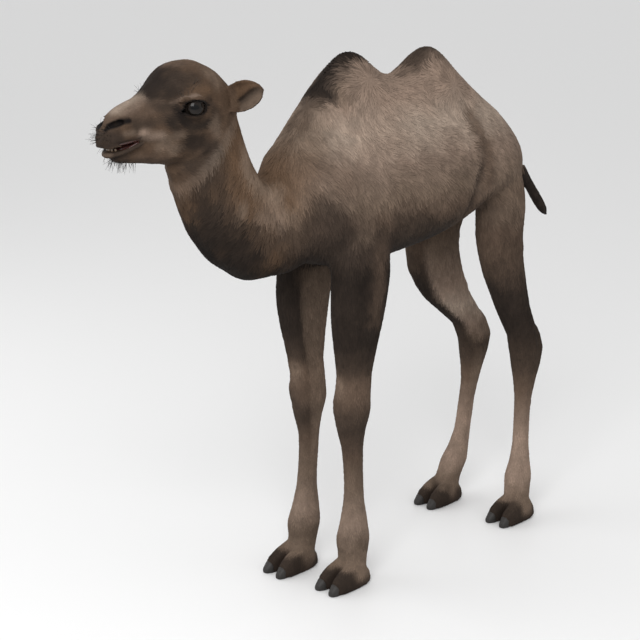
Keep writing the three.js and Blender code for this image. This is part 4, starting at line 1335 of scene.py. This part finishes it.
def teeth():
    """The lower front teeth, along their arch and leaning forward."""
    all_points, all_faces, all_colours = [], [], []
    for k in range(TOOTH_COUNT):
        x = (k - (TOOTH_COUNT - 1) / 2) * TOOTH_PITCH
        pts, faces = ball_mesh(1.0, 12, 16)
        pts = np.sign(pts) * np.abs(pts) ** 0.75 * TOOTH_RADII
        pts[:, 0] *= 1 + 0.12 * pts[:, 2] / TOOTH_RADII[2]
        turn = math.atan2(2 * ARCH_CURVE * x, 1.0)
        c, s = math.cos(turn), math.sin(turn)
        pts = pts @ np.array([[c, -s, 0], [s, c, 0], [0, 0, 1]]).T
        pts[:, 1] -= 0.28 * (pts[:, 2] + 3)
        all_colours.append(mix(CROWN, ROOT, smoothstep(-pts[:, 2:], 0.5, 5)))
        all_points.append(pts + [x, TOOTH_Y + x * x * ARCH_CURVE, TOOTH_Z])
        all_faces.append(faces + k * len(pts))
    make_object("teeth", all_points, all_faces, all_colours, material=TOOTH)


teeth()


# ------------------------------------------------------------------ nails
TOE_OFF, NAIL_STEP, NAIL_PROUD, NAIL_COLOUR = 24, 1.7, 1.1, linear(31, 27, 24)


def nail(name, x, y):
    """The horny cap of the toe at x, y: the toe's own tip, standing a little proud of it."""
    low, high = (x - 24, y - 96, -2), (x + 24, y - 44, 44)  # a box round the toe's tip
    axes = tuple(np.arange(low[i], high[i], NAIL_STEP) for i in range(3))
    p = np.stack(np.meshgrid(*axes, indexing="ij"), axis=-1)
    behind = (p[..., 1] - (y - 72)) * 0.92 + (p[..., 2] - 16) * 0.38
    off = np.abs(p[..., 0] - x) - 15.5 + 0.12 * (p[..., 1] - y + 80)
    cap = np.maximum.reduce([skin_field(p) - NAIL_PROUD, behind, off, 1.0 - p[..., 2]])
    pts, faces = extract(axes, cap)
    shade = 0.85 + 0.3 * smoothstep(pts[:, 2], 4, 30)
    obj = make_object(name, [pts], [faces], [NAIL_COLOUR * shade[:, None]], material=NAIL)
    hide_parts(name.replace("toenail_", ""))


for leg, (foot_x, foot_y), stride in (
    ("foreleg", FORE_FOOT, FORE_STRIDE),
    ("hindleg", HIND_FOOT, HIND_STRIDE),
):
    for side, sign in SIDES:
        for toe, way in (("inner", -1), ("outer", 1)):
            y = foot_y - (stride if sign < 0 else 0)
            nail(f"toenail_{leg}_{side}_nail_{toe}", sign * (foot_x + way * TOE_OFF), y)

# ------------------------------------------------------------------ floor and light
FLOOR_SIZE, PAPER, SKY_STRENGTH = 240, (0.85, 0.85, 0.85, 1), 0.78
LAMPS = (("key", (2.2, -3.0, 3.4), 2.5, 125), ("fill", (-3.0, -2.0, 2.0), 3, 30))  # name, place, size, watts
bpy.ops.mesh.primitive_plane_add(size=FLOOR_SIZE)
floor = bpy.context.object
floor.name = "floor"
paper = bpy.data.materials.new("floor")
paper.use_nodes = True
paper.node_tree.nodes["Principled BSDF"].inputs["Base Color"].default_value = PAPER
floor.data.materials.append(paper)

world = bpy.data.worlds.new("world")
bpy.context.scene.world = world
world.use_nodes = True
world.node_tree.nodes["Background"].inputs[0].default_value = (1, 1, 1, 1)
world.node_tree.nodes["Background"].inputs[1].default_value = SKY_STRENGTH
for name, place, size, power in LAMPS:
    light = bpy.data.lights.new(name, "AREA")
    light.size, light.energy = size, power
    lamp = bpy.data.objects.new(name, light)
    lamp.location = place
    lamp.rotation_euler = (TARGET - Vector(place)).to_track_quat("-Z", "Y").to_euler()
    bpy.context.scene.collection.objects.link(lamp)
bpy.context.scene.view_settings.view_transform = "Standard"
